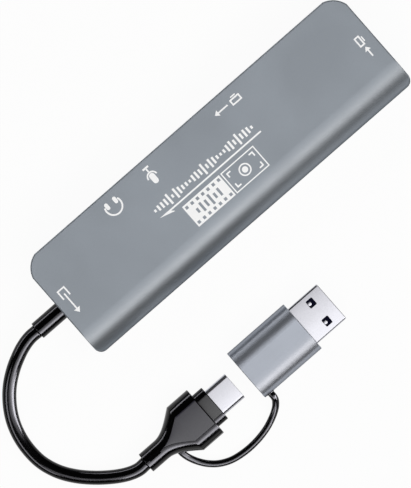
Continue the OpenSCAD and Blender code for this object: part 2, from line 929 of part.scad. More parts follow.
// Insulator of the socket: a base at the back and the thin tongue that the plug slides over
module socket_tongue() {
    inner = 2 * (socket_sheet + fit);
    color(black) at_adapter() {
        along_x(socket_base_x, socket_base_l) stadium(socket_w - inner, socket_h - inner);
        block(
            socket_tongue_x,
            [socket_base_x + stick - socket_tongue_x, socket_tongue_w, socket_tongue_t],
            -socket_tongue_t / 2
        );
    }
}

module socket_contacts() {
    contact = [c_contact[0], c_contact[1], socket_contact_t];
    color(gold) at_adapter()
        for (i = [0 : c_contact_count - 1], z = [-socket_tongue_t / 2 - contact[2], socket_tongue_t / 2])
            translate([0, in_row(i, c_contact_count, c_contact_pitch), 0])
                block(socket_tongue_x + socket_contact_in, contact, z);
}

module flat_plug_shell() {
    color(steel) at_adapter() difference() {
        along_x(adapter_l - a_tail, a_tail + a_plug_l) difference() {
            round_rect(a_plug_w, a_plug_h, a_corner_r);
            round_rect(a_plug_w - 2 * a_sheet, a_plug_h - 2 * a_sheet, a_corner_r - a_sheet);
        }
        for (side = [-1, 1])
            translate([a_window_x, side * a_window_y, 0])
                block(-a_window[0] / 2, [a_window[0], a_window[1], a_plug_h + past], -(a_plug_h + past) / 2);
    }
}

// Insulator of the flat plug: a base at the back, and a tongue under the top of the shell
module flat_plug_tongue() {
    inner = a_sheet + fit;
    w = a_plug_w - 2 * (inner + a_tongue_gap);
    top_z = a_plug_h / 2 - inner;
    color(insert_blue) at_adapter() {
        block(adapter_l - a_tail, [a_tail + a_plug_l - a_tongue_short, w, a_tongue_t], top_z - a_tongue_t);
        block(adapter_l - a_tail, [a_tail, w, 2 * top_z], -top_z);
    }
}

// Contacts below the tongue
module flat_plug_contacts() {
    tongue_under = a_plug_h / 2 - a_sheet - fit - a_tongue_t;
    end_x = adapter_l + a_plug_l - a_tongue_short - a_contact_short;
    color(gold) at_adapter() for (i = [0 : a_contact_count - 1])
        translate([0, in_row(i, a_contact_count, a_contact_pitch), 0])
            block(end_x - a_contact[0], a_contact, tongue_under - a_contact[2]);
}

upper_shell();
lower_shell();
case_screws();
main_board();
capture_chip();
loop_out_chip();
audio_chip();
memory_chip();
crystals();
inductors();
regulator();
capacitors();
thermal_pad();
video_in_shell();
video_in_tongue();
video_in_contacts();
video_out_shell();
video_out_tongue();
video_out_contacts();
mic_jack_body();
mic_jack_contacts();
headphone_jack_body();
headphone_jack_contacts();
wire_header();
cable_wires();
cable_relief();
data_cable();
plug_grip();
plug_collar();
plug_shell();
plug_insert();
plug_contacts();
plug_board();
tether();
tether_anchor();
adapter_sleeve();
adapter_core();
adapter_board();
socket_shell();
socket_tongue();
socket_contacts();
flat_plug_shell();
flat_plug_tongue();
flat_plug_contacts();
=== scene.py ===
"""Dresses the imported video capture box: its shells, print, ports, cable, data plug and tethered adapter."""

import json
import math
from collections import namedtuple

import bmesh
import bpy
from bpy.props import FloatProperty, FloatVectorProperty, IntProperty, PointerProperty
from bpy.types import Operator, Panel, PropertyGroup
from mathutils import Matrix, Vector


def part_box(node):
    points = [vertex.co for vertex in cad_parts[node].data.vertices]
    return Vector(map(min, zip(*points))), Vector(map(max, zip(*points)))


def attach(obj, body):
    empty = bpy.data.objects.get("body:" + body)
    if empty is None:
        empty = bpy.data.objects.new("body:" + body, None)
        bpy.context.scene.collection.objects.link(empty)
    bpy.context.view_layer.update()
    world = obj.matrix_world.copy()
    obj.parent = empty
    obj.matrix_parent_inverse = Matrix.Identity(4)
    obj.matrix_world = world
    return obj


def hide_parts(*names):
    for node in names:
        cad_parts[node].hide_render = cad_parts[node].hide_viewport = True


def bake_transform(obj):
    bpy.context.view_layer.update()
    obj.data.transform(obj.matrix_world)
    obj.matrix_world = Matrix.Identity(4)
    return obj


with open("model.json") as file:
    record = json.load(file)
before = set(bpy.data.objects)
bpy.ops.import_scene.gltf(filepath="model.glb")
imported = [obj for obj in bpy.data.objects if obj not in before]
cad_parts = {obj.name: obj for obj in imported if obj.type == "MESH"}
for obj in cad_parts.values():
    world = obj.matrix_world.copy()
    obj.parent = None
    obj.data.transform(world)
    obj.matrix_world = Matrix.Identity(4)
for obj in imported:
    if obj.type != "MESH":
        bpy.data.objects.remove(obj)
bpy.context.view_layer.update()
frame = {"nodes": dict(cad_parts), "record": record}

bl_info = {
    "name": "Video Capture Box",
    "version": (1, 0, 0),
    "blender": (4, 5, 0),
    "location": "3D View > Sidebar > Capture Box",
    "description": "Dresses a packed capture box, its cable and its adapter, and sets the studio round it",
    "category": "Object",
}

MM = 0.001
BOX = "capture_box"
ADAPTER = "adapter"
SLOT_COLOUR = {m["slot"]: m["base_color"] for m in frame["record"]["materials"]}

# Routes of the two cords, as the solids have them, in millimetres
CABLE_ROUTE = [
    (-63.3, 0, 6.25), (-65.9, 0, 6.25), (-68.7, -0.6, 6.1), (-71.5, -1.7, 5.7), (-74.9, -3.5, 4.9),
    (-78.5, -6.2, 3.9), (-81.6, -9.7, 3), (-83.9, -13.6, 2.3), (-85.3, -17.9, 2), (-85.8, -22.4, 1.95),
    (-85.4, -27, 1.95), (-83.7, -31.6, 1.95), (-81, -35.6, 2.05), (-77.5, -39.2, 2.45),
    (-73.7, -42.2, 3.1), (-70.3, -44.2, 3.7), (-67.3, -45.2, 4.1), (-64.7, -45.2, 4.1),
]
TETHER_ROUTE = [
    (-55.7, -48.1, 3.3), (-55.7, -49.6, 3.1), (-55.2, -51.6, 2.4), (-54.1, -53.9, 1.6),
    (-52.4, -56.2, 1.15), (-50, -58.2, 1), (-46.8, -59.6, 1), (-42.8, -60.2, 1),
    (-38.8, -60.1, 1), (-35, -59.4, 1.05), (-31.8, -58.2, 1.4), (-29.4, -56.8, 2.2),
    (-28, -55.3, 3.3), (-27.65, -54.1, 4.1), (-27.65, -53.15, 4.1),
]

PICTURE_MIDDLE = Vector((-14.7, -11.9, 0)) * MM
# Headings on the floor, in degrees from +X
PORT_SIDE, CABLE_END, SPINE_SIDE, PICTURE_RIGHT = 90, 180, -90, -50
# Groups of pieces that a lamp lights: only these looks, or all but these
BRIGHT = {"steel", "grip_panel", "collar"}
BLACK = {"grip", "cord"}
RECEIVERS = {
    "soft_lit": ("EXCLUDE", BRIGHT | BLACK),
    "sheen_lit": ("INCLUDE", BRIGHT),
    "gloss_lit": ("INCLUDE", BLACK),
    "print_lit": ("INCLUDE", {"print"}),
}

WELD = 1e-6
FLAT_ANGLE = math.radians(1)
SQUARE = math.cos(math.radians(0.3))
SHARP_ANGLE = math.radians(32)
LEVEL = math.cos(math.radians(12))
NARROW = 0.2 * MM

# Sizes that the solids have as well
CABLE_R = 1.9 * MM
TETHER_R = 0.95 * MM
JACK_NOSE_R = 2.5 * MM
RELIEF_R = 2.5 * MM
RELIEF_STEP = 1.45 * MM
BOSS_R = 2.25 * MM
PIN_R = 1 * MM
PORT_GAP = 0.2 * MM
SNUG_GAP = 0.05 * MM
PLUG_WINDOW_BACK = 4.35 * MM
PLUG_WINDOW_SIDE = 3.2 * MM
# How far a cutting tool reaches past a surface, and how far a boss reaches into its wall
PAST = 1 * MM
CONTACT_EDGE = 0.02 * MM
# Video sockets, each with the axis along its width
VIDEO_PORTS = (("video_in", 1), ("video_out", 0))


def level_prop(label, text, value):
    return FloatProperty(name=label, description=text, default=value, min=0)


def length_prop(label, text, mm):
    return FloatProperty(name=label, description=text, default=mm * MM, min=0, unit="LENGTH", precision=5)


def colour_prop(label, text, colour):
    return FloatVectorProperty(
        name=label, description=text, default=tuple(colour), size=3, min=0, max=1, subtype="COLOR"
    )


class CaptureSizes(PropertyGroup):
    """Sizes of the details that the dressing adds."""

    box_wall: length_prop("Box wall", "Wall of the two shells", 1.4)
    spine_reach: length_prop("Spine reach", "Width of the rounded spine, seen from above", 8)
    spine_nose: length_prop("Spine nose", "Radius of the spine's outermost part", 4.4)
    port_corner_cut: length_prop("Port corner cut", "How much of each side a port corner takes off", 4.5)
    port_corner_r: length_prop("Port corner radius", "Radius of the port corners", 6.7)
    spine_corner_r: length_prop("Spine corner radius", "Radius of the spine corners at the seam", 2.2)
    outline_edge: length_prop("Outline edge", "Rounding of the box's outline, above and below", 0.4)
    seam_edge: length_prop("Seam edge", "Chamfer along the seam and round the windows", 0.12)
    lip_edge: length_prop("Lip edge", "Rounding of the rims of sockets and plugs", 0.09)
    sleeve_reach: length_prop("Sleeve reach", "Width of each rounded side of the adapter sleeve", 5.4)
    sleeve_nose: length_prop("Sleeve nose", "Radius of the sleeve's outermost parts", 3.6)
    sleeve_wall: length_prop("Sleeve wall", "Wall of the adapter sleeve", 0.7)
    sleeve_edge: length_prop("Sleeve edge", "Rounding of the adapter sleeve's two rims", 0.2)
    moulded_edge: length_prop("Moulded edge", "Rounding of the moulded pieces", 0.2)
    core_edge: length_prop("Core edge", "Rounding of the adapter's core, whose rim is thin", 0.04)
    print_rise: length_prop("Print rise", "How far the print stands above the upper shell", 0.02)
    print_line: length_prop("Print line", "Width of a printed line", 0.42)
    panel_rise: length_prop("Panel rise", "How far the middle of the grip's panel stands proud", 0.22)
    panel_lip: length_prop("Panel lip", "How far the rim of the grip's panel stands proud", 0.04)
    plug_crown: level_prop("Plug crown", "Share of height that the plug shells lose at their sides", 0.09)
    cord_sides: IntProperty(name="Cord sides", description="Corners of a cord's section", default=32, min=8)
    cord_steps: IntProperty(name="Cord steps", description="Rings between two route points", default=6, min=2)


class CaptureColours(PropertyGroup):
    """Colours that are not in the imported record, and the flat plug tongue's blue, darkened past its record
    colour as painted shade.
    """

    print_white: colour_prop("Print", "Ink of the printed marks", (0.97, 0.985, 1.0))
    panel_grey: colour_prop("Grip panel", "Satin panel of the grip", (0.012, 0.011, 0.021))
    # The tongue's dark blue is its own colour darkened further, which paints the shade inside the shell where
    # the windows show it
    tongue_blue_with_shade: colour_prop("Flat plug tongue", "Seen through its windows", (0.0014, 0.0016, 0.012))
    floor_white: colour_prop("Floor", "Studio floor", (0.8, 0.8, 0.8))


class CaptureStudio(PropertyGroup):
    """Camera and lamps."""

    view_height: length_prop("View height", "Height of the part of the floor that the camera sees", 129.3)
    camera_height: FloatProperty(
        name="Camera height", description="Height of the camera", default=3, unit="LENGTH"
    )
    camera_turn: FloatProperty(
        name="Camera turn",
        description="Turn of the picture about the vertical",
        default=-math.radians(41.137),
        subtype="ANGLE",
    )
    world_light: level_prop("World light", "Strength of the grey world", 0.04)
    softbox: level_prop("Softbox", "Radiance of the overhead softbox", 1.58)
    key_panel: level_prop("Key panel", "Radiance of the spine-side panel", 2.6)
    key_colour: colour_prop("Key colour", "Tint of the spine-side panel", (1, 0.95, 0.9))
    rim_panel: level_prop("Rim panel", "Radiance of the port-side panel", 1.5)
    gloss_key: level_prop("Gloss key", "Radiance of the panel for the black gloss pieces", 22)
    gloss_rim: level_prop("Gloss rim", "Radiance of the low panels for the black gloss pieces", 9.5)
    gloss_colour: colour_prop("Gloss colour", "Tint of the black gloss pieces' panels", (0.93, 0.92, 1))
    floor_glow: level_prop("Floor glow", "Share of plain white in the floor that is seen", 0.95)


def sizes():
    return bpy.context.scene.capture_sizes


def colours():
    return bpy.context.scene.capture_colours


def studio():
    return bpy.context.scene.capture_studio


# Node helpers


def new_group(name, inputs, outputs):
    """An empty shader node group with its sockets and its two end nodes."""
    tree = bpy.data.node_groups.new(name, "ShaderNodeTree")
    for label, kind in inputs:
        tree.interface.new_socket(label, in_out="INPUT", socket_type=kind)
    for label, kind in outputs:
        tree.interface.new_socket(label, in_out="OUTPUT", socket_type=kind)
    return tree, tree.nodes.new("NodeGroupInput"), tree.nodes.new("NodeGroupOutput")


def add_node(tree, kind, values=None, **settings):
    """A node with its settings, and its input values or links given by socket."""
    node = tree.nodes.new(kind)
    for key, value in settings.items():
        setattr(node, key, value)
    for key, value in (values or {}).items():
        if isinstance(value, bpy.types.NodeSocket):
            tree.links.new(value, node.inputs[key])
        else:
            node.inputs[key].default_value = value
    return node


def math_node(tree, operation, *values):
    """Result of a math node with these values or links."""
    return add_node(tree, "ShaderNodeMath", dict(enumerate(values)), operation=operation).outputs[0]


def grained_surface():
    """Group: colour drift, roughness clouds and fine grain, brighter where an edge is rounded."""
    tree = bpy.data.node_groups.get("grained_surface")
    if tree:
        return tree
    floats = ["Drift", "Grain Scale", "Rough Low", "Rough High", "Edge Gain"]
    tree, given, out = new_group(
        "grained_surface",
        [("Coordinates", "NodeSocketVector"), ("Stretch", "NodeSocketVector"), ("Colour", "NodeSocketColor")]
        + [(label, "NodeSocketFloat") for label in floats],
        [("Colour", "NodeSocketColor"), ("Roughness", "NodeSocketFloat"), ("Height", "NodeSocketFloat")],
    )
    get = given.outputs
    stretched = add_node(tree, "ShaderNodeMapping", {"Vector": get["Coordinates"], "Scale": get["Stretch"]})
    grain = add_node(
        tree, "ShaderNodeTexNoise",
        {"Vector": stretched.outputs[0], "Scale": get["Grain Scale"], "Detail": 3, "Roughness": 0.55},
    )
    clouds = add_node(tree, "ShaderNodeTexNoise", {"Vector": get["Coordinates"], "Scale": 55, "Detail": 2})
    darker = math_node(tree, "SUBTRACT", 1.0, get["Drift"])
    lighter = math_node(tree, "ADD", 1.0, get["Drift"])
    drift = add_node(
        tree, "ShaderNodeMapRange",
        {"Value": grain.outputs["Fac"], "From Min": 0.3, "From Max": 0.7, "To Min": darker,
         "To Max": lighter},
    )
    edge = add_node(tree, "ShaderNodeAttribute", attribute_name="edge")
    gain = math_node(tree, "MULTIPLY_ADD", edge.outputs["Fac"], get["Edge Gain"], 1.0)
    level = math_node(tree, "MULTIPLY", drift.outputs["Result"], gain)
    tint = add_node(tree, "ShaderNodeVectorMath", {0: get["Colour"], "Scale": level}, operation="SCALE")
    rough = add_node(
        tree, "ShaderNodeMapRange",
        {"Value": clouds.outputs["Fac"], "From Min": 0.35, "From Max": 0.65, "To Min": get["Rough Low"],
         "To Max": get["Rough High"]},
    )
    tree.links.new(tint.outputs[0], out.inputs["Colour"])
    tree.links.new(rough.outputs["Result"], out.inputs["Roughness"])
    tree.links.new(grain.outputs["Fac"], out.inputs["Height"])
    return tree


# rim_tint is the specular tint at grazing angles; set near black, it paints a dark shade along rounded edges
Finish = namedtuple(
    "Finish", "metallic rough drift scale stretch bump edge specular rim_tint", defaults=(0.0, 0.5, 1.0)
)
EVEN = (1, 1, 1)
DRAWN = (0.03, 1, 1)
FINISHES = {
    # Housing (0.05) and sleeve (0.2) take a near-black grazing tint: painted shade that darkens their rounded
    # spine and sides
    "housing": Finish(0.9, (0.38, 0.44), 0.02, 7000, EVEN, 0.015, 0.1, 0.5, 0.05),
    "sleeve": Finish(0.9, (0.33, 0.38), 0.03, 6000, DRAWN, 0.012, 0.15, 0.5, 0.2),
    "steel": Finish(1.0, (0.17, 0.21), 0.012, 5000, DRAWN, 0.0007, 0.1),
    "screw_steel": Finish(1.0, (0.28, 0.4), 0.08, 9000, EVEN, 0.03, 0.2),
    "contact_gold": Finish(1.0, (0.2, 0.3), 0.05, 9000, EVEN, 0.02, 0.1),
    "wire": Finish(0.6, (0.35, 0.45), 0.1, 6000, DRAWN, 0.03),
    "insulator": Finish(0.0, (0.4, 0.5), 0.1, 8000, EVEN, 0.03, 0.3, 0.3),
    "core": Finish(0.0, (0.42, 0.52), 0.1, 8000, EVEN, 0.04, 0.3, 0.3),
    "grip": Finish(0.0, (0.1, 0.14), 0.1, 9000, EVEN, 0.001, 0.2, 0.2),
    "collar": Finish(0.0, (0.3, 0.36), 0.08, 9000, EVEN, 0.006, 0.2, 0.8),
    "cord": Finish(0.0, (0.12, 0.17), 0.1, 7000, (0.06, 1, 1), 0.0015, 0.0, 0.2),
    "blue_insert": Finish(0.0, (0.35, 0.45), 0.06, 8000, EVEN, 0.02, 0.2, 0.03),
    "board": Finish(0.0, (0.3, 0.42), 0.25, 1500, EVEN, 0.05),
    "chip": Finish(0.0, (0.45, 0.6), 0.12, 12000, EVEN, 0.05, 0.3),
    "ceramic": Finish(0.0, (0.3, 0.45), 0.1, 9000, EVEN, 0.03),
    "ferrite": Finish(0.0, (0.5, 0.65), 0.15, 9000, EVEN, 0.06),
    "pad": Finish(0.0, (0.7, 0.85), 0.1, 4000, EVEN, 0.08),
    "nylon": Finish(0.0, (0.35, 0.5), 0.04, 6000, EVEN, 0.03, 0.1),
    "print": Finish(0.0, (0.32, 0.4), 0.02, 6000, EVEN, 0.02, 0.0, 1.0),
    "grip_panel": Finish(0.0, (0.29, 0.34), 0.06, 12000, EVEN, 0.004, 0.2, 0.9),
}
BUMP_GAIN = 10
BUMP_DEPTH = 0.05 * MM


def finish(name):
    """The material of that name, made from its row in FINISHES the first time."""
    title = f"{name}_finish"
    if title in bpy.data.materials:
        return bpy.data.materials[title]
    # The tongue's colour here carries painted shade as well as its own blue
    own = {
        "print": colours().print_white, "grip_panel": colours().panel_grey,
        "blue_insert": colours().tongue_blue_with_shade,
    }
    colour = own.get(name, SLOT_COLOUR.get(name))
    row = FINISHES[name]
    material = bpy.data.materials.new(title)
    material.use_nodes = True
    tree = material.node_tree
    shader = tree.nodes["Principled BSDF"]
    spots = add_node(tree, "ShaderNodeTexCoord").outputs
    surface = add_node(
        tree, "ShaderNodeGroup",
        {"Coordinates": spots["UV" if name == "cord" else "Object"], "Stretch": row.stretch,
         "Colour": (*colour, 1), "Drift": row.drift, "Grain Scale": row.scale, "Rough Low": row.rough[0],
         "Rough High": row.rough[1], "Edge Gain": row.edge},
        node_tree=grained_surface(),
    ).outputs
    bump = row.bump * BUMP_GAIN
    relief = add_node(
        tree, "ShaderNodeBump", {"Height": surface["Height"], "Strength": bump, "Distance": BUMP_DEPTH * bump}
    )
    tree.links.new(surface["Colour"], shader.inputs["Base Color"])
    tree.links.new(surface["Roughness"], shader.inputs["Roughness"])
    tree.links.new(relief.outputs["Normal"], shader.inputs["Normal"])
    shader.inputs["Metallic"].default_value = row.metallic
    shader.inputs["Specular IOR Level"].default_value = row.specular
    # A dark grazing tint here is painted shade along the edges, not a colour of the metal
    shader.inputs["Specular Tint"].default_value = (row.rim_tint, row.rim_tint, row.rim_tint, 1)
    return material


# Mesh helpers


def linked(name, data):
    piece = bpy.data.objects.new(name, data)
    bpy.context.scene.collection.objects.link(piece)
    return piece


def from_bmesh(name, bm):
    mesh = bpy.data.meshes.new(name)
    bm.to_mesh(mesh)
    bm.free()
    return linked(name, mesh)


def link_lamps(piece, look):
    """Puts a piece in the lamps' groups that name its look."""
    for name, (state, looks) in RECEIVERS.items():
        if look in looks:
            group = bpy.data.collections[name]
            group.objects.link(piece)
            group.collection_objects[-1].light_linking.link_state = state


def place(piece, body, slot, *nodes, look=None):
    """Gives a piece its finish and lets it ride a body, in the place of these solids."""
    piece.data.materials.clear()
    piece.data.materials.append(finish(look or slot))
    link_lamps(piece, look or slot)
    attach(piece, body)
    if nodes:
        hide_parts(*nodes)
    return piece


def settle(piece):
    """Turns what a piece's modifiers make into its own plain mesh."""
    bpy.context.view_layer.update()
    graph = bpy.context.evaluated_depsgraph_get()
    made = bpy.data.meshes.new_from_object(
        piece.evaluated_get(graph), preserve_all_data_layers=True, depsgraph=graph
    )
    raw = piece.data
    piece.modifiers.clear()
    piece.data = made
    bpy.data.meshes.remove(raw)
    made.name = piece.name
    return piece


def welded(node):
    """A merged copy of a solid's skin, with its flat faces whole."""
    bm = bmesh.new()
    bm.from_mesh(frame["nodes"][node].data)
    bmesh.ops.remove_doubles(bm, verts=bm.verts, dist=WELD)
    square = [e for e in bm.edges if all(max(map(abs, f.normal)) > SQUARE for f in e.link_faces)]
    bmesh.ops.dissolve_limit(bm, angle_limit=FLAT_ANGLE, verts=bm.verts, edges=square)
    return bm


def soften(piece, width):
    """Rounds the sharp edges of a piece and marks the rounded faces in its edge attribute."""
    mesh = piece.data
    for stale in ("custom_normal", "sharp_face", "sharp_edge"):
        if stale in mesh.attributes:
            mesh.attributes.remove(mesh.attributes[stale])
    mesh.shade_smooth()
    mesh.materials.clear()
    mesh.materials.append(None)
    mesh.materials.append(None)
    bevel = piece.modifiers.new("soft_edges", "BEVEL")
    bevel.width = width
    bevel.segments = 2
    bevel.limit_method = "ANGLE"
    bevel.angle_limit = SHARP_ANGLE
    bevel.use_clamp_overlap = False
    bevel.material = 1
    piece.modifiers.new("no_doubles", "WELD").merge_threshold = WELD
    flats = piece.modifiers.new("flat_faces", "WEIGHTED_NORMAL")
    flats.keep_sharp = True
    settle(piece)
    mesh = piece.data
    edge = mesh.attributes.new("edge", "FLOAT", "FACE")
    edge.data.foreach_set("value", [float(p.material_index == 1) for p in mesh.polygons])
    mesh.polygons.foreach_set("material_index", [0] * len(mesh.polygons))
    return piece


def dressed(node, body, slot, width):
    """A softened copy of a solid, which stands for it."""
    piece = soften(from_bmesh(f"{node}_skin", welded(node)), width)
    return place(piece, body, slot, node)


def crisp(piece):
    """Smooth curves between crisp folds; narrow slanting faces are marked as edges."""
    bm = bmesh.new()
    bm.from_mesh(piece.data)
    bm.normal_update()
    mark = bm.faces.layers.float.new("edge")
    for face in bm.faces:
        face.smooth = True
        slanting = max(map(abs, face.normal)) < LEVEL
        face[mark] = float(slanting and min(e.calc_length() for e in face.edges) < NARROW)
    for edge in bm.edges:
        edge.smooth = edge.calc_face_angle(0) < SHARP_ANGLE
    bm.to_mesh(piece.data)
    bm.free()
    piece.modifiers.new("true_faces", "WEIGHTED_NORMAL").keep_sharp = True
    return settle(piece)


def combined(piece, operation, tools):
    """Joins tools to a piece or cuts them out of it, and clears them away."""
    for tool in tools:
        step = piece.modifiers.new(tool.name, "BOOLEAN")
        step.object = tool
        step.operation = operation
        step.solver = "EXACT"
    settle(piece)
    for tool in tools:
        mesh = tool.data
        bpy.data.objects.remove(tool)
        bpy.data.meshes.remove(mesh)
    return piece


def loft(name, rings, closed=False):
    """A skin through rings of points, closed by end faces or round to its first ring, with UV in metres."""
    bm = bmesh.new()
    uv = bm.loops.layers.uv.new("along")
    rows = [[bm.verts.new(p) for p in ring] for ring in rings]
    count = len(rows[0])
    girth = max(sum((a - b).length for a, b in zip(ring, ring[1:] + ring[:1])) for ring in rings)
    along = [0.0]
    for a, b in zip(rings, rings[1:]):
        along.append(along[-1] + (sum(b, Vector()) / count - sum(a, Vector()) / count).length)
    for i in range(len(rows) if closed else len(rows) - 1):
        n = (i + 1) % len(rows)
        for k in range(count):
            j = (k + 1) % count
            face = bm.faces.new((rows[i][k], rows[n][k], rows[n][j], rows[i][j]))
            face.smooth = True
            for loop, (row, side) in zip(face.loops, ((i, k), (n, k), (n, k + 1), (i, k + 1))):
                loop[uv].uv = (along[row], girth * side / count)
    if not closed:
        bm.faces.new(rows[0])
        bm.faces.new(list(reversed(rows[-1])))
    bmesh.ops.remove_doubles(bm, verts=bm.verts, dist=WELD)
    bmesh.ops.recalc_face_normals(bm, faces=bm.faces)
    return from_bmesh(name, bm)


def block(name, low, high):
    """A plain box between two corners."""
    outline = rectangle(low.x, low.y, high.x, high.y)
    return loft(name, [[Vector((x, y, z)) for x, y in outline] for z in (low.z, high.z)])


def quarter_turns(steps):
    """Even angles from nought to a right angle."""
    return [math.pi / 2 * i / steps for i in range(steps + 1)]


Nose = namedtuple("Nose", "height reach nose_r")


def nose_point(nose, tilt, inset=0.0):
    """Point of a section's rounded end by its tilt: how far past the flat, how far above the middle."""
    half = nose.height / 2
    arc_r = ((nose.reach - nose.nose_r) ** 2 + half ** 2 - nose.nose_r ** 2) / (nose.height - 2 * nose.nose_r)
    turn = math.radians(tilt)
    if turn < math.atan2(nose.reach - nose.nose_r, arc_r - half):
        return (arc_r - inset) * math.sin(turn), half - arc_r + (arc_r - inset) * math.cos(turn)
    r = nose.nose_r - inset
    return nose.reach - nose.nose_r + r * math.sin(turn), r * math.cos(turn)


def oval(width, height, reach, nose_r):
    """Quarter of a section with rounded ends."""
    def quarter(tilt, inset):
        past, up = nose_point(Nose(height, reach, nose_r), tilt, inset)
        return width / 2 - reach + past, up
    return quarter


def round_box(width, height, radius):
    """Quarter of a section with round corners."""
    def quarter(tilt, inset):
        turn = math.radians(tilt)
        r = max(radius - inset, 0)
        gap = max(inset - radius, 0)
        return width / 2 - radius - gap + r * math.sin(turn), height / 2 - radius - gap + r * math.cos(turn)
    return quarter


TILTS = [90 * i / 18 for i in range(19)]
FLAT_STEPS = 22


def section_ring(quarter, inset, x, y, z, crown=0.0):
    """A whole section across X, centred at a place; crown is the share of its height that its sides lose."""
    points = [quarter(t, inset) for t in TILTS]
    flat, top = points[0]
    points = [(flat * i / FLAT_STEPS, top) for i in range(FLAT_STEPS)] + points
    half = points[-1][0]
    points = [(a, b * (1 - crown * (a / half) ** 2)) for a, b in points]
    around = [(a, b) for a, b in points] + [(a, -b) for a, b in reversed(points)]
    around += [(-a, -b) for a, b in points] + [(-a, b) for a, b in reversed(points)]
    return [Vector((x, y + a, z + b)) for a, b in around]


def rim(x0, x1, wall, edge, taper, steps=4):
    """Profile of a sleeve with rounded rims: places along X and insets, once round the wall."""
    turns = quarter_turns(steps)
    front = [(x1 - taper + taper * math.sin(a), edge - edge * math.cos(a)) for a in turns]
    front += [(x1 - edge + edge * math.cos(a), wall - edge + edge * math.sin(a)) for a in turns]
    back = [(x0 + edge - edge * math.sin(a), wall - edge + edge * math.cos(a)) for a in turns]
    back += [(x0 + edge - edge * math.cos(a), edge - edge * math.sin(a)) for a in turns]
    return front + back


def sleeve(name, node, quarter, wall, edge, crown=0.0, taper=None):
    """A sleeve of even wall, as long as its solid; taper is how long the rounding of its front is."""
    low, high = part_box(node)
    y, z = (low.y + high.y) / 2, (low.z + high.z) / 2
    places = rim(low.x, high.x, wall, edge, taper or edge)
    return loft(name, [section_ring(quarter, inset, x, y, z, crown) for x, inset in places], True)


def stadium_sleeve(name, node, wall, edge, crown=0.0):
    """A sleeve with half-round sides."""
    low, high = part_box(node)
    height = high.z - low.z
    return sleeve(name, node, round_box(high.y - low.y, height, height / 2), wall, edge, crown)


def smooth_path(route, steps):
    """Points on one smooth curve through the route's points."""
    points = [Vector(p) * MM for p in route]
    ends = [2 * points[0] - points[1], *points, 2 * points[-1] - points[-2]]
    path = []
    for a, b, c, d in zip(ends, ends[1:], ends[2:], ends[3:]):
        for i in range(steps):
            t = i / steps
            path.append(
                b + ((c - a) * t + (2 * a - 5 * b + 4 * c - d) * t * t + (3 * b - a - 3 * c + d) * t ** 3) / 2
            )
    return [*path, points[-1]]


def circle(centre, right, up, radius, sides):
    return [
        centre + radius * (math.cos(a) * right + math.sin(a) * up)
        for a in (2 * math.pi * k / sides for k in range(sides))
    ]


def cord_skin(name, path, radius):
    """A round tube along a path."""
    rings = []
    for i, point in enumerate(path):
        heading = (path[min(i + 1, len(path) - 1)] - path[max(i - 1, 0)]).normalized()
        right = heading.cross(Vector((0, 0, 1))).normalized()
        rings.append(circle(point, right, right.cross(heading), radius, sizes().cord_sides))
    return loft(name, rings)


def path_length(path):
    return sum((b - a).length for a, b in zip(path, path[1:]))


def lathe(name, axis_point, axis, profile, sides=64):
    """A turned skin: the profile gives the distance along the axis and the radius."""
    axis = Vector(axis).normalized()
    right = axis.orthogonal().normalized()
    up = axis.cross(right)
    return loft(name, [circle(Vector(axis_point) + s * axis, right, up, r, sides) for s, r in profile])


def rounded_end(at, radius, fillet, outward, steps=5):
    """Profile points of a rounded rim that ends at a place along the axis."""
    return [
        (at - outward * fillet * (1 - math.sin(a)), radius - fillet * (1 - math.cos(a)))
        for a in quarter_turns(steps)
    ]


# Geometry node trees


def new_geometry_tree(name, inputs):
    tree = bpy.data.node_groups.new(name, "GeometryNodeTree")
    for label, kind in inputs:
        tree.interface.new_socket(label, in_out="INPUT", socket_type=kind)
    tree.interface.new_socket("Geometry", in_out="OUTPUT", socket_type="NodeSocketGeometry")
    return tree, tree.nodes.new("NodeGroupInput").outputs, tree.nodes.new("NodeGroupOutput")


def close_tree(tree, out, instances, material):
    """Ends a tree in real geometry with its material."""
    real = add_node(tree, "GeometryNodeRealizeInstances", {"Geometry": instances})
    painted = add_node(tree, "GeometryNodeSetMaterial", {"Geometry": real.outputs[0], "Material": material})
    tree.links.new(painted.outputs[0], out.inputs["Geometry"])


def grid_tree():
    """Tree: copies of one piece in rows and columns."""
    tree = bpy.data.node_groups.get("grid_of_copies")
    if tree:
        return tree
    tree, get, out = new_geometry_tree(
        "grid_of_copies",
        [("Piece", "NodeSocketObject"), ("Start", "NodeSocketVector"), ("Step", "NodeSocketVector"),
         ("Count", "NodeSocketInt"), ("Row Step", "NodeSocketVector"), ("Rows", "NodeSocketInt"),
         ("Material", "NodeSocketMaterial")],
    )
    row = add_node(tree, "GeometryNodeMeshLine", {"Count": get["Count"], "Offset": get["Step"]})
    rows = add_node(
        tree, "GeometryNodeMeshLine",
        {"Count": get["Rows"], "Start Location": get["Start"], "Offset": get["Row Step"]},
    )
    spread = add_node(
        tree, "GeometryNodeInstanceOnPoints", {"Points": rows.outputs[0], "Instance": row.outputs[0]}
    )
    points = add_node(tree, "GeometryNodeRealizeInstances", {"Geometry": spread.outputs[0]})
    source = add_node(tree, "GeometryNodeObjectInfo", {"Object": get["Piece"]})
    copies = add_node(
        tree, "GeometryNodeInstanceOnPoints",
        {"Points": points.outputs[0], "Instance": source.outputs["Geometry"]},
    )
    close_tree(tree, out, copies.outputs[0], get["Material"])
    return tree


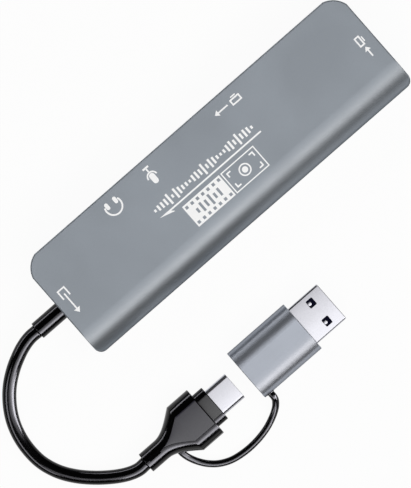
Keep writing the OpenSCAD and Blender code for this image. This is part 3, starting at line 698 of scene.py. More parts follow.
def bars_tree():
    """Tree: a row of upright bars whose heights follow a slow and a quick wave."""
    tree, get, out = new_geometry_tree(
        "level_bars",
        [("Start", "NodeSocketVector"), ("Step", "NodeSocketVector"), ("Count", "NodeSocketInt"),
         ("Bar", "NodeSocketVector"), ("Least Share", "NodeSocketFloat"), ("Slow Wave", "NodeSocketFloat"),
         ("Quick Wave", "NodeSocketFloat"), ("Material", "NodeSocketMaterial")],
    )
    row = add_node(
        tree, "GeometryNodeMeshLine",
        {"Count": get["Count"], "Start Location": get["Start"], "Offset": get["Step"]},
    )
    index = add_node(tree, "GeometryNodeInputIndex").outputs[0]
    slow, quick = (
        math_node(tree, "SINE", math_node(tree, "MULTIPLY", index, get[label]))
        for label in ("Slow Wave", "Quick Wave")
    )
    swing = math_node(tree, "ABSOLUTE", math_node(tree, "MULTIPLY", slow, quick))
    share = add_node(
        tree, "ShaderNodeMapRange", {"Value": swing, "To Min": get["Least Share"], "To Max": 1.0}
    )
    scale = add_node(tree, "ShaderNodeCombineXYZ", {"X": 1.0, "Y": share.outputs["Result"], "Z": 1.0})
    bar = add_node(tree, "GeometryNodeMeshCube", {"Size": get["Bar"]})
    bars = add_node(
        tree, "GeometryNodeInstanceOnPoints",
        {"Points": row.outputs[0], "Instance": bar.outputs[0], "Scale": scale.outputs[0]},
    )
    close_tree(tree, out, bars.outputs[0], get["Material"])
    return tree


def grown(name, tree, values):
    """A plain mesh piece from a geometry tree, with its inputs set by socket."""
    piece = linked(name, bpy.data.meshes.new(name))
    modifier = piece.modifiers.new(tree.name, "NODES")
    modifier.node_group = tree
    for item in tree.interface.items_tree:
        if item.in_out == "INPUT" and item.name in values:
            modifier[item.identifier] = values[item.name]
    return settle(piece)


def one_solid(node, name, width):
    """The first solid of a group, softened, with its lowest corner at the origin, and its size."""
    bm = welded(node)
    bm.verts.ensure_lookup_table()
    found, queue = set(), [bm.verts[0]]
    while queue:
        vert = queue.pop()
        if vert not in found:
            found.add(vert)
            queue.extend(e.other_vert(vert) for e in vert.link_edges)
    bmesh.ops.delete(bm, geom=[v for v in bm.verts if v not in found], context="VERTS")
    low = Vector(min(v.co[i] for v in bm.verts) for i in range(3))
    size = Vector(max(v.co[i] for v in bm.verts) for i in range(3)) - low
    bmesh.ops.translate(bm, verts=bm.verts, vec=-low)
    return soften(from_bmesh(name, bm), width), size


def contact_rows(node, body, axis, counts):
    """Rows of contacts in the place of a group of solids: the lower row first, then the upper one."""
    blade, size = one_solid(node, "blade", CONTACT_EDGE)
    low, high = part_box(node)
    pitch = (high[axis] - low[axis] - size[axis]) / (max(counts) - 1)
    pieces = []
    for level, count in zip(("lower", "upper"), counts):
        start = low.copy()
        start[axis] += (max(counts) - count) * pitch / 2
        start.z = low.z if level == "lower" else high.z - size.z
        step = Vector((0, 0, 0))
        step[axis] = pitch
        row = grown(
            f"{node}_{level}",
            grid_tree(),
            {"Piece": blade, "Start": start, "Step": step, "Count": count, "Rows": 1,
             "Material": finish("contact_gold")},
        )
        pieces.append(place(row, body, "contact_gold", node))
    bpy.data.objects.remove(blade)
    return pieces


# Flat shapes of the print, in millimetres, read with their right along p and their top along q


def rectangle(p0, q0, p1, q1):
    return [(p0, q0), (p1, q0), (p1, q1), (p0, q1)]


def arc(p, q, radius, start, end, steps=20):
    turns = (math.radians(start + (end - start) * i / steps) for i in range(steps + 1))
    return [(p + radius * math.cos(a), q + radius * math.sin(a)) for a in turns]


def disc(p, q, radius):
    return arc(p, q, radius, 0, 360, 32)[:-1]


def corner_of(turn, p, q):
    """Centre of the rounding that starts at a turn, for corners at plus or minus p and q."""
    return (p if turn in (0, 270) else -p), (q if turn in (0, 90) else -q)


def ring_part(p, q, radius, line, start, end):
    return arc(p, q, radius, start, end) + arc(p, q, radius - line, end, start)


def capsule(p, q, width, height):
    r, reach = width / 2, (height - width) / 2
    return arc(p, q + reach, r, 0, 180, 12) + arc(p, q - reach, r, 180, 360, 12)


def arrow(p, length, line, head):
    """Arrow that points right, from its tail."""
    neck, wing = p + length - head, 0.75 * head
    return [
        (p, -line / 2), (neck, -line / 2), (neck, -wing), (p + length, 0),
        (neck, wing), (neck, line / 2), (p, line / 2),
    ]


def bracket(width, height, line):
    """Square bracket that opens to the right, from the middle of its back."""
    h = height / 2
    return [
        (0, -h), (width, -h), (width, line - h), (line, line - h),
        (line, h - line), (width, h - line), (width, h), (0, h),
    ]


def screen(p, width, height, line):
    """Outline of a screen on a foot, centred at a place."""
    w, h, foot = width / 2, height / 2, 0.25 * height
    return [
        rectangle(p - w, foot - h, p + w, h),
        rectangle(p - w + line, foot - h + line, p + w - line, h - line),
        rectangle(p - w / 2, -h, p + w / 2, 0.8 * line - h),
    ]


def microphone(line):
    """Microphone in its cradle on a foot."""
    return [
        capsule(0, 1.25, 1.6, 3.1),
        ring_part(0, 0.75, 1.6, line, 180, 360),
        rectangle(-line / 2, -1.9, line / 2, -0.88),
        rectangle(-0.95, -2.45, 0.95, -1.93),
    ]


def headphones(line):
    """Head band with two ear cups inside its ends."""
    band = ring_part(0, 0, 2.6, 1.1 * line, -26, 206)
    cups = [capsule(side * 1.38, -0.95, 1.05, 2.0) for side in (-1, 1)]
    return [band, *cups]


def viewfinder(width, height, line, reach):
    """Four corner marks."""
    marks = []
    for sp in (-1, 1):
        for sq in (-1, 1):
            a, b = sp * width / 2, sq * height / 2
            marks.append([
                (a, b), (a - sp * reach, b), (a - sp * reach, b - sq * line), (a - sp * line, b - sq * line),
                (a - sp * line, b - sq * reach), (a, b - sq * reach),
            ])
    return marks


def film_strip(width, height, holes, hole, inset):
    """Filled block with a row of holes along its top and its bottom."""
    w, h, half = width / 2, height / 2, hole / 2
    loops = [rectangle(-w, -h, w, h)]
    for i in range(holes):
        at = (i + 0.5) * width / holes - w
        for mid in (inset - h, h - inset):
            loops.append(rectangle(at - half, mid - half, at + half, mid + half))
    return loops


def turned(loops, x, y, turn):
    """Shapes set at a place on the box, with their right turned from +X."""
    c, s = round(math.cos(math.radians(turn)), 9), round(math.sin(math.radians(turn)), 9)
    return [[(x + c * p - s * q, y + s * p + c * q) for p, q in loop] for loop in loops]


def print_skin(name, loops):
    """Printed shapes as one thin skin on the upper shell."""
    curve = bpy.data.curves.new(name, "CURVE")
    curve.dimensions = "2D"
    curve.fill_mode = "BOTH"
    curve.extrude = sizes().print_rise
    for loop in loops:
        spline = curve.splines.new("POLY")
        spline.points.add(len(loop) - 1)
        spline.points.foreach_set("co", [v for p, q in loop for v in (p * MM, q * MM, 0, 1)])
        spline.use_cyclic_u = True
    flat = linked(f"{name}_curve", curve)
    bpy.context.view_layer.update()
    mesh = bpy.data.meshes.new_from_object(flat.evaluated_get(bpy.context.evaluated_depsgraph_get()))
    bpy.data.objects.remove(flat)
    bpy.data.curves.remove(curve)
    mesh.transform(Matrix.Translation((0, 0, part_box("upper_shell")[1].z)))
    mesh.name = name
    return linked(name, mesh)


def video_outline(half_w, height, grow):
    """Outline of a video socket with bevelled lower corners, grown by a gap, from the middle of its foot."""
    bevel_x, bevel_z = 1.9 * MM, 2.2 * MM
    slant = math.hypot(bevel_x, bevel_z)
    dx, dz = grow * (slant - bevel_x) / bevel_z, grow * (slant - bevel_z) / bevel_x
    right = [(half_w - bevel_x + dx, -grow), (half_w + grow, bevel_z - dz), (half_w + grow, height + grow)]
    return right + [(-p, q) for p, q in reversed(right)]


# The grip's shape, as its solid has it


Grip = namedtuple("Grip", "front axis_y axis_z half_w half_h reach block flare neck neck_r ease")


def grip_shape():
    """Sizes of the grip from its solid and from what lies at its two ends."""
    low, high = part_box("plug_grip")
    return Grip(
        front=high.x,
        axis_y=(low.y + high.y) / 2,
        axis_z=(low.z + high.z) / 2,
        half_w=(high.y - low.y) / 2,
        half_h=(high.z - low.z) / 2,
        reach=3.4 * MM,
        block=7.1 * MM,
        flare=8.4 * MM,
        neck=high.x - low.x - (7.1 + 8.4) * MM,
        neck_r=3 * MM,
        ease=1.6,
    )


def grip_section(grip, back):
    """Half width, half height and rounding of the grip at a distance behind its front."""
    t = 1 - min(max((back - grip.block) / grip.flare, 0), 1)
    f = t * t * (grip.ease + (1 - grip.ease) * t)
    return (
        grip.neck_r + (grip.half_w - grip.neck_r) * f,
        grip.neck_r + (grip.half_h - sizes().panel_rise - grip.neck_r) * f,
        grip.neck_r + (grip.reach - grip.neck_r) * t,
    )


def grip_ring(grip, back, inset=0.0, steps=14):
    half_w, half_h, reach = grip_section(grip, back)
    ring = []
    for side in (1, -1):
        for i in range(-steps, steps + 1):
            a = side * math.pi / 2 * i / steps
            y = side * (half_w - reach + (reach - inset) * math.cos(a))
            ring.append(Vector((
                grip.front - back, grip.axis_y + y, grip.axis_z + (half_h - inset) * math.sin(a)
            )))
    return ring


# Operators


class CAPTURE_OT_stage(Operator):
    """Make the camera, the lamps, the grey world and the pale floor"""

    bl_idname = "capture_box.stage"
    bl_label = "Studio"

    def panel(self, name, toward, tilts, length, radiance, receivers, colour):
        """A soft panel a metre away, by its heading on the floor and its two angles from the vertical."""
        light = bpy.data.lights.new(name, "AREA")
        light.color = colour
        light.shape = "RECTANGLE"
        light.size = length
        light.size_y = 2 * math.tan(math.radians(tilts[1] - tilts[0]) / 2)
        light.energy = radiance * math.pi * light.size * light.size_y
        heading, tilt = math.radians(toward), math.radians(sum(tilts) / 2)
        away = Vector((
            math.sin(tilt) * math.cos(heading), math.sin(tilt) * math.sin(heading), math.cos(tilt)
        ))
        lamp = linked(name, light)
        lamp.location = PICTURE_MIDDLE + away
        lamp.rotation_euler = (-away).to_track_quat("-Z", "Y").to_euler()
        lamp.visible_camera = False
        lamp.visible_diffuse = receivers != "gloss_lit"
        lamp.light_linking.receiver_collection = bpy.data.collections[receivers]

    def floor(self):
        bm = bmesh.new()
        bmesh.ops.create_grid(bm, x_segments=1, y_segments=1, size=3)
        floor = from_bmesh("floor", bm)
        floor.location.z = -0.1 * MM
        material = bpy.data.materials.new("pale_floor")
        material.use_nodes = True
        tree = material.node_tree
        shader = tree.nodes["Principled BSDF"]
        shader.inputs["Base Color"].default_value = (*colours().floor_white, 1)
        shader.inputs["Roughness"].default_value = 0.9
        shader.inputs["Specular IOR Level"].default_value = 0.1
        glow = add_node(tree, "ShaderNodeEmission", {"Strength": 1.0})
        rays = add_node(tree, "ShaderNodeLightPath").outputs
        seen = math_node(tree, "MAXIMUM", rays["Is Camera Ray"], rays["Is Glossy Ray"])
        seen = math_node(tree, "MAXIMUM", seen, rays["Is Transmission Ray"])
        share = math_node(tree, "MULTIPLY", seen, studio().floor_glow)
        mix = add_node(tree, "ShaderNodeMixShader", {0: share, 1: shader.outputs[0], 2: glow.outputs[0]})
        tree.links.new(mix.outputs[0], tree.nodes["Material Output"].inputs["Surface"])
        floor.data.materials.append(material)

    def execute(self, context):
        scene = context.scene
        scene.view_settings.view_transform = "Standard"
        view = studio()
        data = bpy.data.cameras.new("photo_camera")
        data.sensor_width = 36
        data.lens = data.sensor_width * view.camera_height / view.view_height
        data.clip_end = 20
        camera = linked("photo_camera", data)
        camera.location = PICTURE_MIDDLE + Vector((0, 0, view.camera_height))
        camera.rotation_euler = (0, 0, view.camera_turn)
        scene.camera = camera
        world = bpy.data.worlds.new("grey_world")
        world.use_nodes = True
        backdrop = world.node_tree.nodes["Background"]
        backdrop.inputs["Color"].default_value = (1, 1, 1, 1)
        backdrop.inputs["Strength"].default_value = view.world_light
        scene.world = world
        for name in RECEIVERS:
            bpy.data.collections.new(name)
        soft, white, violet = view.softbox, (1, 1, 1), view.gloss_colour
        corners = [
            (f"sheen_corner_{turn}", turn, (40, 76), 0.9, soft * 0.6, "sheen_lit", white)
            for turn in (45, 135, -135, -45)
        ]
        for lamp in (
            ("print_panel", PORT_SIDE, (10, 30), 1.8, soft * 0.5, "print_lit", white),
            ("softbox", SPINE_SIDE, (-9, 7), 1.8, soft, "soft_lit", white),
            ("softbox_near", SPINE_SIDE, (7, 31), 1.8, soft * 0.75, "soft_lit", white),
            ("key_panel", SPINE_SIDE, (31, 54), 1.8, view.key_panel, "soft_lit", view.key_colour),
            ("rim_panel", PORT_SIDE, (49.5, 64.5), 1.8, view.rim_panel, "soft_lit", white),
            ("sheen_far", SPINE_SIDE, (-12, -4), 1.8, soft * 0.5, "sheen_lit", white),
            ("sheen_middle", SPINE_SIDE, (-4, 4), 1.8, soft * 0.78, "sheen_lit", white),
            ("sheen_near", SPINE_SIDE, (4, 48), 1.8, soft * 1.05, "sheen_lit", white),
            *corners,
            ("gloss_key", SPINE_SIDE, (39, 59), 1.6, view.gloss_key, "gloss_lit", violet),
            ("gloss_fill", SPINE_SIDE, (27, 39), 1.6, view.gloss_key * 0.5, "gloss_lit", violet),
            ("gloss_fade", SPINE_SIDE, (10, 27), 1.6, view.gloss_key * 0.2, "gloss_lit", violet),
            ("gloss_rim_ports", PORT_SIDE, (66, 79), 1.6, view.gloss_rim, "gloss_lit", violet),
            ("gloss_rim_left", CABLE_END, (46, 64), 0.8, view.gloss_rim, "gloss_lit", violet),
            ("gloss_rim_right", PICTURE_RIGHT, (54, 80), 1.0, view.gloss_rim * 4, "gloss_lit", violet),
        ):
            self.panel(*lamp)
        self.floor()
        return {"FINISHED"}


class CAPTURE_OT_cords(Operator):
    """Lay the data cable and the adapter's tether along their routes"""

    bl_idname = "capture_box.cords"
    bl_label = "Cable and tether"

    def execute(self, context):
        cable_path = smooth_path(CABLE_ROUTE, sizes().cord_steps)
        cable = cord_skin("data_cable_jacket", cable_path, CABLE_R)
        place(cable, BOX, "cord", "data_cable")
        tether_path = smooth_path(TETHER_ROUTE, sizes().cord_steps)
        tether = cord_skin("tether_cord", tether_path, TETHER_R)
        tether.data.materials.append(finish("cord"))
        link_lamps(tether, "cord")
        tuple(tether_path[0])
        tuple(tether_path[-1])
        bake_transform(tether)
        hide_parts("tether")
        return {"FINISHED"}


class CAPTURE_OT_shells(Operator):
    """Model the two shells of the box, with their windows and bosses, and fit their screws"""

    bl_idname = "capture_box.shells"
    bl_label = "Shells and screws"

    def level(self, tilt, inset, side):
        """Outline of the box at the height where the spine has a tilt, drawn in by an inset."""
        size = sizes()
        low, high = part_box("lower_shell")[0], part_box("upper_shell")[1]
        spine = Nose(high.z - low.z, size.spine_reach, size.spine_nose)
        past, up = nose_point(spine, tilt, inset)
        edge = size.outline_edge
        drop = min(max(spine.height / 2 - up - inset, 0), edge)
        if inset < edge:
            inset += edge - math.sqrt(edge ** 2 - (edge - drop) ** 2)
        x, y = high.x - inset, low.y + spine.reach - past
        cut, r = size.port_corner_cut, size.port_corner_r
        k = (cut + math.sqrt(2 * r * r - cut * cut)) / 2
        meet = math.degrees(math.acos((k - inset) / (r - inset)))
        fillet = max(edge, size.spine_corner_r - (spine.reach - past))
        corners = arc(high.x - k, high.y - k, r - inset, meet, 90 - meet, 10)
        corners += arc(low.x + k, high.y - k, r - inset, 90 + meet, 180 - meet, 10)
        corners += arc(fillet - x, y + fillet, fillet, 180, 270, 6)
        corners += arc(x - fillet, y + fillet, fillet, 270, 360, 6)
        middle = (low.z + high.z) / 2
        return [Vector((a, b, middle + side * up)) for a, b in corners]

    def wall(self, name, side):
        """Bowl of one shell: side is 1 for the upper one and -1 for the lower one."""
        outer = [0, 3, 6, 9, 12, 15, 18, *range(21, 88, 4), 88]
        inner = [0, 12, 24, 36, 48, 60, 75, 90]
        rings = [self.level(t, sizes().box_wall, side) for t in inner]
        rings.append(self.level(90, sizes().seam_edge, side))
        rings += [self.level(t, 0.0, side) for t in reversed(outer)]
        return loft(name, rings)

    def windows(self):
        """Tools for the openings of the ports and of the strain relief."""
        low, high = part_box("lower_shell")[0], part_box("upper_shell")[1]
        chamfer = sizes().seam_edge
        depths = [(PAST, chamfer), (0, chamfer), (-chamfer, 0), (-sizes().box_wall - PAST, 0)]
        tools = []
        for port, across in VIDEO_PORTS:
            box_low, box_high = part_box(f"{port}_shell")
            middle = (box_low[across] + box_high[across]) / 2
            rings = []
            for depth, grow in depths:
                ring = []
                for p, q in video_outline(box_high[across] - middle, box_high.z - box_low.z, PORT_GAP + grow):
                    point = Vector((high.x + depth, high.y + depth, box_low.z + q))
                    point[across] = middle + p
                    ring.append(point)
                rings.append(ring)
            tools.append(loft(f"{port}_window", rings))
        for jack in ("mic", "headphone"):
            box_low, box_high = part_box(f"{jack}_jack_body")
            at = ((box_low.x + box_high.x) / 2, 0, (box_low.z + box_high.z) / 2)
            profile = [(high.y + depth, JACK_NOSE_R + PORT_GAP + grow) for depth, grow in depths]
            tools.append(lathe(f"{jack}_window", at, (0, 1, 0), profile))
        relief_low, relief_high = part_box("cable_relief")
        at = (0, (relief_low.y + relief_high.y) / 2, (relief_low.z + relief_high.z) / 2)
        profile = [(low.x - depth, RELIEF_R + SNUG_GAP + grow) for depth, grow in depths]
        tools.append(lathe("relief_window", at, (1, 0, 0), profile))
        return tools

    def execute(self, context):
        screw, size = one_solid("case_screws", "screw", 0.05 * MM)
        low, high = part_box("case_screws")
        step = Vector((high.x - low.x - size.x, high.y - low.y - size.y, 0))
        middle = (low + high) / 2
        places = [
            (middle.x + sx * step.x / 2, middle.y + sy * step.y / 2) for sx in (-1, 1) for sy in (-1, 1)
        ]
        board_low, board_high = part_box("main_board")
        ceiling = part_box("upper_shell")[1].z - PAST
        post = [(high.z + 0.3 * MM, PIN_R), (board_high.z, PIN_R), (board_high.z, BOSS_R), (ceiling, BOSS_R)]
        foot = [(PAST, BOSS_R), (board_low.z, BOSS_R)]
        head_r, seat_r, shank_r = 2.1 * MM, 1.95 * MM, 1.15 * MM
        hole = [(-PAST, head_r), (0, head_r), (0.12 * MM, seat_r)]
        hole += [(0.92 * MM, shank_r), (board_high.z, shank_r)]

        def at_screws(name, profile, sides):
            return [lathe(name, (*p, 0), (0, 0, 1), profile, sides) for p in places]

        upper, lower = self.wall("upper_shell_skin", 1), self.wall("lower_shell_skin", -1)
        pad_low, pad_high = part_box("thermal_pad")
        pedestal = block(
            "pedestal", Vector((pad_low.x, pad_low.y, pad_high.z)), Vector((pad_high.x, pad_high.y, ceiling))
        )
        combined(upper, "UNION", [*at_screws("post", post, 32), pedestal])
        combined(upper, "DIFFERENCE", self.windows())
        combined(lower, "UNION", at_screws("foot", foot, 32))
        combined(lower, "DIFFERENCE", [*at_screws("hole", hole, 48), *self.windows()])
        place(crisp(upper), BOX, "housing", "upper_shell")
        place(crisp(lower), BOX, "housing", "lower_shell")
        screws = grown(
            "case_screw_set",
            grid_tree(),
            {"Piece": screw, "Start": low, "Step": Vector((step.x, 0, 0)), "Count": 2,
             "Row Step": Vector((0, step.y, 0)), "Rows": 2, "Material": finish("screw_steel")},
        )
        bpy.data.objects.remove(screw)
        place(screws, BOX, "screw_steel", "case_screws")
        return {"FINISHED"}


class CAPTURE_OT_print(Operator):
    """Print plain marks and pictograms on the upper shell"""

    bl_idname = "capture_box.print"
    bl_label = "Print"

    def execute(self, context):
        line = sizes().print_line / MM
        thin = 0.8 * line
        badge_y, finder_x = -3.95, 6.1
        levels = (0.7, 1.4, 1.0, 1.6, 0.8, 1.2)
        out_mark = screen(1.6, 3.2, 2.4, line) + [arrow(4.2, 4.4, line, 1.2)]
        in_mark = [arrow(0, 3.2, line, 1.2)] + screen(5.2, 3.0, 2.2, line)
        cable_mark = [bracket(2.8, 2.6, line), arrow(1.6, 6.4, line, 1.3)]
        # Each mark with its place on the box, in millimetres, and its turn from +X
        loops = turned(microphone(line), -13.5, 11.4, 180)
        loops += turned(headphones(line), -26.4, 11.6, 180)
        loops += turned(out_mark, 18.0, 11.9, 180)
        loops += turned(in_mark, 51.3, -3.6, 90)
        loops += turned(cable_mark, -51.4, 4.4, -90)
        loops += turned(film_strip(12.9, 6.9, 7, 0.85, 0.95), -6.55, badge_y, 180)
        loops += turned(viewfinder(9.2, 4.9, line, 1.4), finder_x, badge_y, 180)
        loops += [disc(finder_x, badge_y, r) for r in (1.75, 1.35, 0.85)]
        # The rule with its slanting end, the bars on the film strip, and the viewfinder's frame
        loops.append([(-19.3, 1.15), (15.9, 1.15), (15.9, 0.7), (-15.7, 0.7), (-14.9, -0.1)])
        for i, h in enumerate(levels):
            x = -10.3 + 1.5 * i
            loops.append(rectangle(x - 0.35, badge_y - h, x + 0.35, badge_y + h))
        loops += [rectangle(0.35 + d, -7.4 + d, 11.8 - d, -0.5 - d) for d in (0, thin)]
        marks = print_skin("top_print", loops)
        marks.data.materials.append(finish("print"))
        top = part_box("upper_shell")[1].z
        bars = grown(
            "level_bar_print",
            bars_tree(),
            {"Start": Vector((-18.9 * MM, 3.35 * MM, top)), "Step": Vector((1.2 * MM, 0, 0)), "Count": 29,
             "Bar": Vector((0.62 * MM, 3.4 * MM, 2 * sizes().print_rise)), "Least Share": 0.22,
             "Slow Wave": 0.33, "Quick Wave": 1.9, "Material": finish("print")},
        )
        for piece in (marks, bars):
            link_lamps(piece, "print")
            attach(piece, BOX)
        return {"FINISHED"}


class CAPTURE_OT_ports(Operator):
    """Soften the video sockets and the audio jacks and fit their contacts"""

    bl_idname = "capture_box.ports"
    bl_label = "Ports"

    def execute(self, context):
        for port, axis in VIDEO_PORTS:
            dressed(f"{port}_shell", BOX, "steel", sizes().lip_edge)
            dressed(f"{port}_tongue", BOX, "insulator", sizes().lip_edge)
            contact_rows(f"{port}_contacts", BOX, axis, (10, 9))
        for jack in ("mic_jack_body", "headphone_jack_body"):
            dressed(jack, BOX, "insulator", sizes().lip_edge)
        return {"FINISHED"}


class CAPTURE_OT_relief(Operator):
    """Turn the strain relief where the cable leaves the box"""

    bl_idname = "capture_box.relief"
    bl_label = "Strain relief"

    def execute(self, context):
        low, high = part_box("cable_relief")
        wall_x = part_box("upper_shell")[0].x
        flange, step = (high.z - low.z) / 2, wall_x + RELIEF_STEP
        profile = [(low.x, RELIEF_R * 0.6)]
        profile += reversed(rounded_end(low.x, RELIEF_R, sizes().moulded_edge, -1))
        profile += [(step, RELIEF_R), (step, flange), (high.x, flange)]
        middle = (low + high) / 2
        relief = lathe("cable_relief_sleeve", (0, middle.y, middle.z), (1, 0, 0), profile)
        relief.data.set_sharp_from_angle(angle=SHARP_ANGLE)
        place(relief, BOX, "cord", "cable_relief")
        return {"FINISHED"}


class CAPTURE_OT_plug(Operator):
    """Model the data plug: grip, panels, collar, shell and contacts"""

    bl_idname = "capture_box.plug"
    bl_label = "Data plug"

    def grip(self, grip):
        edge = sizes().moulded_edge
        back = grip.block + grip.flare + grip.neck
        rims = [(edge * (1 - math.sin(a)), edge * (1 - math.cos(a))) for a in quarter_turns(4)]
        rings = [grip_ring(grip, s, inset) for s, inset in reversed(rims)]
        steps = 26
        rings += [grip_ring(grip, grip.block + grip.flare * i / steps) for i in range(steps + 1)]
        rings += [grip_ring(grip, back - s, inset) for s, inset in rims]
        piece = loft("plug_grip_body", rings)
        slot, slot_back = Vector((3.7, 1.1, 0.7)) * MM, 1.2 * MM
        top = Vector((grip.front - back + slot_back + slot.x / 2, grip.axis_y, grip.axis_z + grip.neck_r))
        combined(piece, "DIFFERENCE", [block("neck_slot", top - slot / 2, top + slot / 2)])
        piece.data.set_sharp_from_angle(angle=SHARP_ANGLE)
        return place(piece, BOX, "grip", "plug_grip")

    def panel_ring(self, x, y, flat, z, side):
        """Section of a thin crowned panel, on a flat that faces up or down."""
        size = sizes()
        lip = size.panel_lip
        widest = 4.1 * MM
        crown = (size.panel_rise - lip) * flat / widest
        inner = flat - min(lip, flat / 2)
        over = [(inner * i / 12, lip + crown * (1 - (i / 12) ** 2)) for i in range(12, -13, -1)]
        corners = [(-flat, -lip), (flat, -lip), (flat, lip * 0.3), *over, (-flat, lip * 0.3)]
        return [Vector((x, y + a, z + side * b)) for a, b in corners]

    def panel(self, grip, name, side):
        """Flat panel on the top or the bottom of the grip, as wide as the flat part of its section."""
        rings = []
        steps = 30
        start, end, tip = 0.3 * MM, grip.block + grip.flare * 0.93, 0.05 * MM
        for i in range(steps + 1):
            back = start + (end - start) * i / steps
            half_w, half_h, reach = grip_section(grip, back)
            flat = max(half_w - reach, tip)
            z = grip.axis_z + side * half_h
            rings.append(self.panel_ring(grip.front - back, grip.axis_y, flat, z, side))
        return place(crisp(loft(name, rings)), BOX, "grip", look="grip_panel")

    def collar(self, grip):
        """Collar in front of the grip with its tail inside, and a flat panel above and below."""
        low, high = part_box("plug_collar")
        half_w, half_h = (high.y - low.y) / 2, (high.z - low.z) / 2
        rise, reach, edge = sizes().panel_rise, 2.2 * MM, sizes().moulded_edge
        body = oval(2 * half_w, 2 * (half_h - rise), reach, 1.45 * MM)
        tail = round_box(2 * (half_w - 0.7 * MM), 2 * (half_h - 0.3 * MM), 0.2 * MM)
        shell_low, shell_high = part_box("plug_shell")
        shell_w, shell_h = shell_high.y - shell_low.y, shell_high.z - shell_low.z
        bore = round_box(shell_w, shell_h, shell_h / 2)
        at = grip.axis_y, grip.axis_z
        rings = [section_ring(tail, 0, x, *at) for x in (low.x, grip.front)]
        rings.append(section_ring(body, 0, grip.front, *at))
        for a in quarter_turns(4):
            x = high.x - edge + edge * math.sin(a)
            rings.append(section_ring(body, edge - edge * math.cos(a), x, *at))
        rings += [section_ring(bore, -SNUG_GAP, x, *at) for x in (high.x, low.x)]
        piece = crisp(loft("plug_collar_body", rings, True))
        pieces = [place(piece, BOX, "collar", "plug_collar", look="grip")]
        for side, name in ((1, "collar_panel_top"), (-1, "collar_panel_under")):
            flat, z = half_w - reach, grip.axis_z + side * (half_h - rise)
            ends = [self.panel_ring(x, grip.axis_y, flat, z, side) for x in (grip.front, high.x - edge)]
            pieces.append(place(crisp(loft(name, ends)), BOX, "collar"))
        return pieces

    def execute(self, context):
        grip = grip_shape()
        pieces = [self.grip(grip)]
        pieces += [self.panel(grip, "grip_panel_top", 1), self.panel(grip, "grip_panel_under", -1)]
        pieces += self.collar(grip)
        wall, lip, crown = 0.25 * MM, sizes().lip_edge, sizes().plug_crown
        shell = crisp(stadium_sleeve("plug_shell_skin", "plug_shell", wall, lip, crown))
        pieces.append(place(shell, BOX, "steel", "plug_shell"))
        pieces += contact_rows("plug_contacts", BOX, 1, (12, 12))
        pieces += [frame["nodes"]["plug_insert"], frame["nodes"]["plug_board"]]
        pieces.append(bpy.data.objects["cable_relief_sleeve"])
        path = smooth_path(CABLE_ROUTE, sizes().cord_steps)
        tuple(path[0])
        path_length(path)
        return {"FINISHED"}


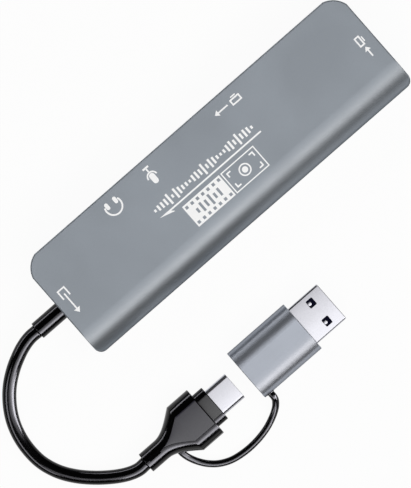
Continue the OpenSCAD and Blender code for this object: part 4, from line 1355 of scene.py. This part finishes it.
class CAPTURE_OT_adapter(Operator):
    """Model the adapter: sleeve, socket, flat plug, contacts and the tether's anchor"""

    bl_idname = "capture_box.adapter"
    bl_label = "Adapter"

    def anchor(self):
        low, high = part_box("tether_anchor")
        middle = (low + high) / 2
        radius = (high.x - low.x) / 2
        profile = [(high.y, radius), (low.y + 0.3 * MM, radius)]
        profile += rounded_end(low.y, radius, 0.25 * MM, -1)
        piece = lathe("tether_anchor_grommet", (middle.x, 0, middle.z), (0, 1, 0), profile, 40)
        piece.data.set_sharp_from_angle(angle=SHARP_ANGLE)
        return place(piece, ADAPTER, "cord", "tether_anchor")

    def sleeve(self):
        """Drawn sleeve with the hole that takes the anchor."""
        size = sizes()
        low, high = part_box("adapter_sleeve")
        quarter = oval(high.y - low.y, high.z - low.z, size.sleeve_reach, size.sleeve_nose)
        piece = sleeve("adapter_sleeve_skin", "adapter_sleeve", quarter, size.sleeve_wall, size.sleeve_edge)
        rod_low, rod_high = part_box("tether_anchor")
        middle = (rod_low + rod_high) / 2
        radius = (rod_high.x - rod_low.x) / 2 + SNUG_GAP
        profile = [(low.y - PAST, radius), (low.y + 2 * MM, radius)]
        combined(piece, "DIFFERENCE", [lathe("anchor_hole", (middle.x, 0, middle.z), (0, 1, 0), profile, 40)])
        return place(crisp(piece), ADAPTER, "sleeve", "adapter_sleeve")

    def flat_shell(self):
        """Shell of the flat plug, with its two windows above and below."""
        low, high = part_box("flat_plug_shell")
        quarter = round_box(high.y - low.y, high.z - low.z, 0.6 * MM)
        wall, taper = 0.32 * MM, 0.6 * MM
        piece = sleeve(
            "flat_plug_shell_skin", "flat_plug_shell", quarter, wall, 0.45 * wall, sizes().plug_crown, taper
        )
        middle, chamfer = (low + high) / 2, 0.06 * MM
        heights = [(low.z - PAST, chamfer), (low.z, chamfer), (low.z + chamfer, 0)]
        heights += [(high.z - chamfer, 0), (high.z, chamfer), (high.z + PAST, chamfer)]
        windows = []
        for side in (-1, 1):
            x, y = high.x - PLUG_WINDOW_BACK, middle.y + side * PLUG_WINDOW_SIDE
            rings = []
            for z, grow in heights:
                outline = [
                    point for turn in (0, 90, 180, 270) for point in
                    arc(*corner_of(turn, 0.75 * MM, 0.85 * MM), 0.3 * MM + grow, turn, turn + 90, 6)
                ]
                rings.append([Vector((x + p, y + q, z)) for p, q in outline])
            windows.append(loft("plug_window", rings))
        combined(piece, "DIFFERENCE", windows)
        return place(crisp(piece), ADAPTER, "steel", "flat_plug_shell")

    def springs(self):
        """Round spring tabs that show in the flat plug's windows."""
        low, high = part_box("flat_plug_shell")
        tongue_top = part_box("flat_plug_tongue")[1].z
        profile = [(0, 0.55), (0.07, 0.55), (0.12, 0.51), (0.16, 0.42), (0.18, 0.28), (0.19, 0.1)]
        tab = lathe("spring_tab", (0, 0, 0), (0, 0, 1), [(s * MM, r * MM) for s, r in profile], 28)
        behind = PLUG_WINDOW_BACK + 0.5 * MM
        start = Vector((high.x - behind, (low.y + high.y) / 2 - PLUG_WINDOW_SIDE, tongue_top))
        tabs = grown(
            "plug_spring_tabs",
            grid_tree(),
            {"Piece": tab, "Start": start, "Step": Vector((0, 2 * PLUG_WINDOW_SIDE, 0)), "Count": 2,
             "Rows": 1, "Material": finish("steel")},
        )
        bpy.data.objects.remove(tab)
        return place(tabs, ADAPTER, "steel")

    def execute(self, context):
        pieces = [self.anchor(), self.springs(), self.sleeve()]
        pieces.append(dressed("adapter_core", ADAPTER, "core", sizes().core_edge))
        socket = crisp(stadium_sleeve("socket_shell_skin", "socket_shell", 0.3 * MM, sizes().lip_edge))
        pieces.append(place(socket, ADAPTER, "steel", "socket_shell"))
        pieces.append(dressed("socket_tongue", ADAPTER, "insulator", sizes().lip_edge))
        pieces += contact_rows("socket_contacts", ADAPTER, 1, (12, 12))
        pieces.append(self.flat_shell())
        pieces.append(dressed("flat_plug_tongue", ADAPTER, "blue_insert", sizes().lip_edge))
        pieces += contact_rows("flat_plug_contacts", ADAPTER, 1, (4,))
        pieces.append(frame["nodes"]["adapter_board"])
        path = smooth_path(TETHER_ROUTE, sizes().cord_steps)
        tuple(path[0])
        path_length(path)
        return {"FINISHED"}


class CAPTURE_OT_inside(Operator):
    """Give every solid that still shows its finish"""

    bl_idname = "capture_box.inside"
    bl_label = "Inner pieces"

    def execute(self, context):
        for part in frame["record"]["subparts"]:
            solid = frame["nodes"][part["node"]]
            solid.data.materials.clear()
            solid.data.materials.append(finish(part["material_slot"]))
        return {"FINISHED"}


class CAPTURE_PT_panel(Panel):
    """Lists the steps and the sizes of the capture box"""

    bl_idname = "CAPTURE_PT_panel"
    bl_label = "Capture Box"
    bl_space_type = "VIEW_3D"
    bl_region_type = "UI"
    bl_category = "Capture Box"

    def draw(self, context):
        for step in STEPS:
            self.layout.operator(step.bl_idname)
        scene = context.scene
        for group in (scene.capture_sizes, scene.capture_colours, scene.capture_studio):
            column = self.layout.column()
            for key in group.__annotations__:
                column.prop(group, key)


STEPS = (
    CAPTURE_OT_stage, CAPTURE_OT_cords, CAPTURE_OT_shells, CAPTURE_OT_print, CAPTURE_OT_ports,
    CAPTURE_OT_relief, CAPTURE_OT_plug, CAPTURE_OT_adapter, CAPTURE_OT_inside,
)
CLASSES = (CaptureSizes, CaptureColours, CaptureStudio, *STEPS, CAPTURE_PT_panel)


def register():
    for cls in CLASSES:
        bpy.utils.register_class(cls)
    bpy.types.Scene.capture_sizes = PointerProperty(type=CaptureSizes)
    bpy.types.Scene.capture_colours = PointerProperty(type=CaptureColours)
    bpy.types.Scene.capture_studio = PointerProperty(type=CaptureStudio)


def unregister():
    del bpy.types.Scene.capture_studio
    del bpy.types.Scene.capture_colours
    del bpy.types.Scene.capture_sizes
    for cls in reversed(CLASSES):
        bpy.utils.unregister_class(cls)


def main():
    register()
    bpy.ops.capture_box.stage()
    bpy.ops.capture_box.cords()
    bpy.ops.capture_box.shells()
    bpy.ops.capture_box.print()
    bpy.ops.capture_box.ports()
    bpy.ops.capture_box.relief()
    bpy.ops.capture_box.plug()
    bpy.ops.capture_box.adapter()
    bpy.ops.capture_box.inside()


if __name__ == "__main__":
    main()
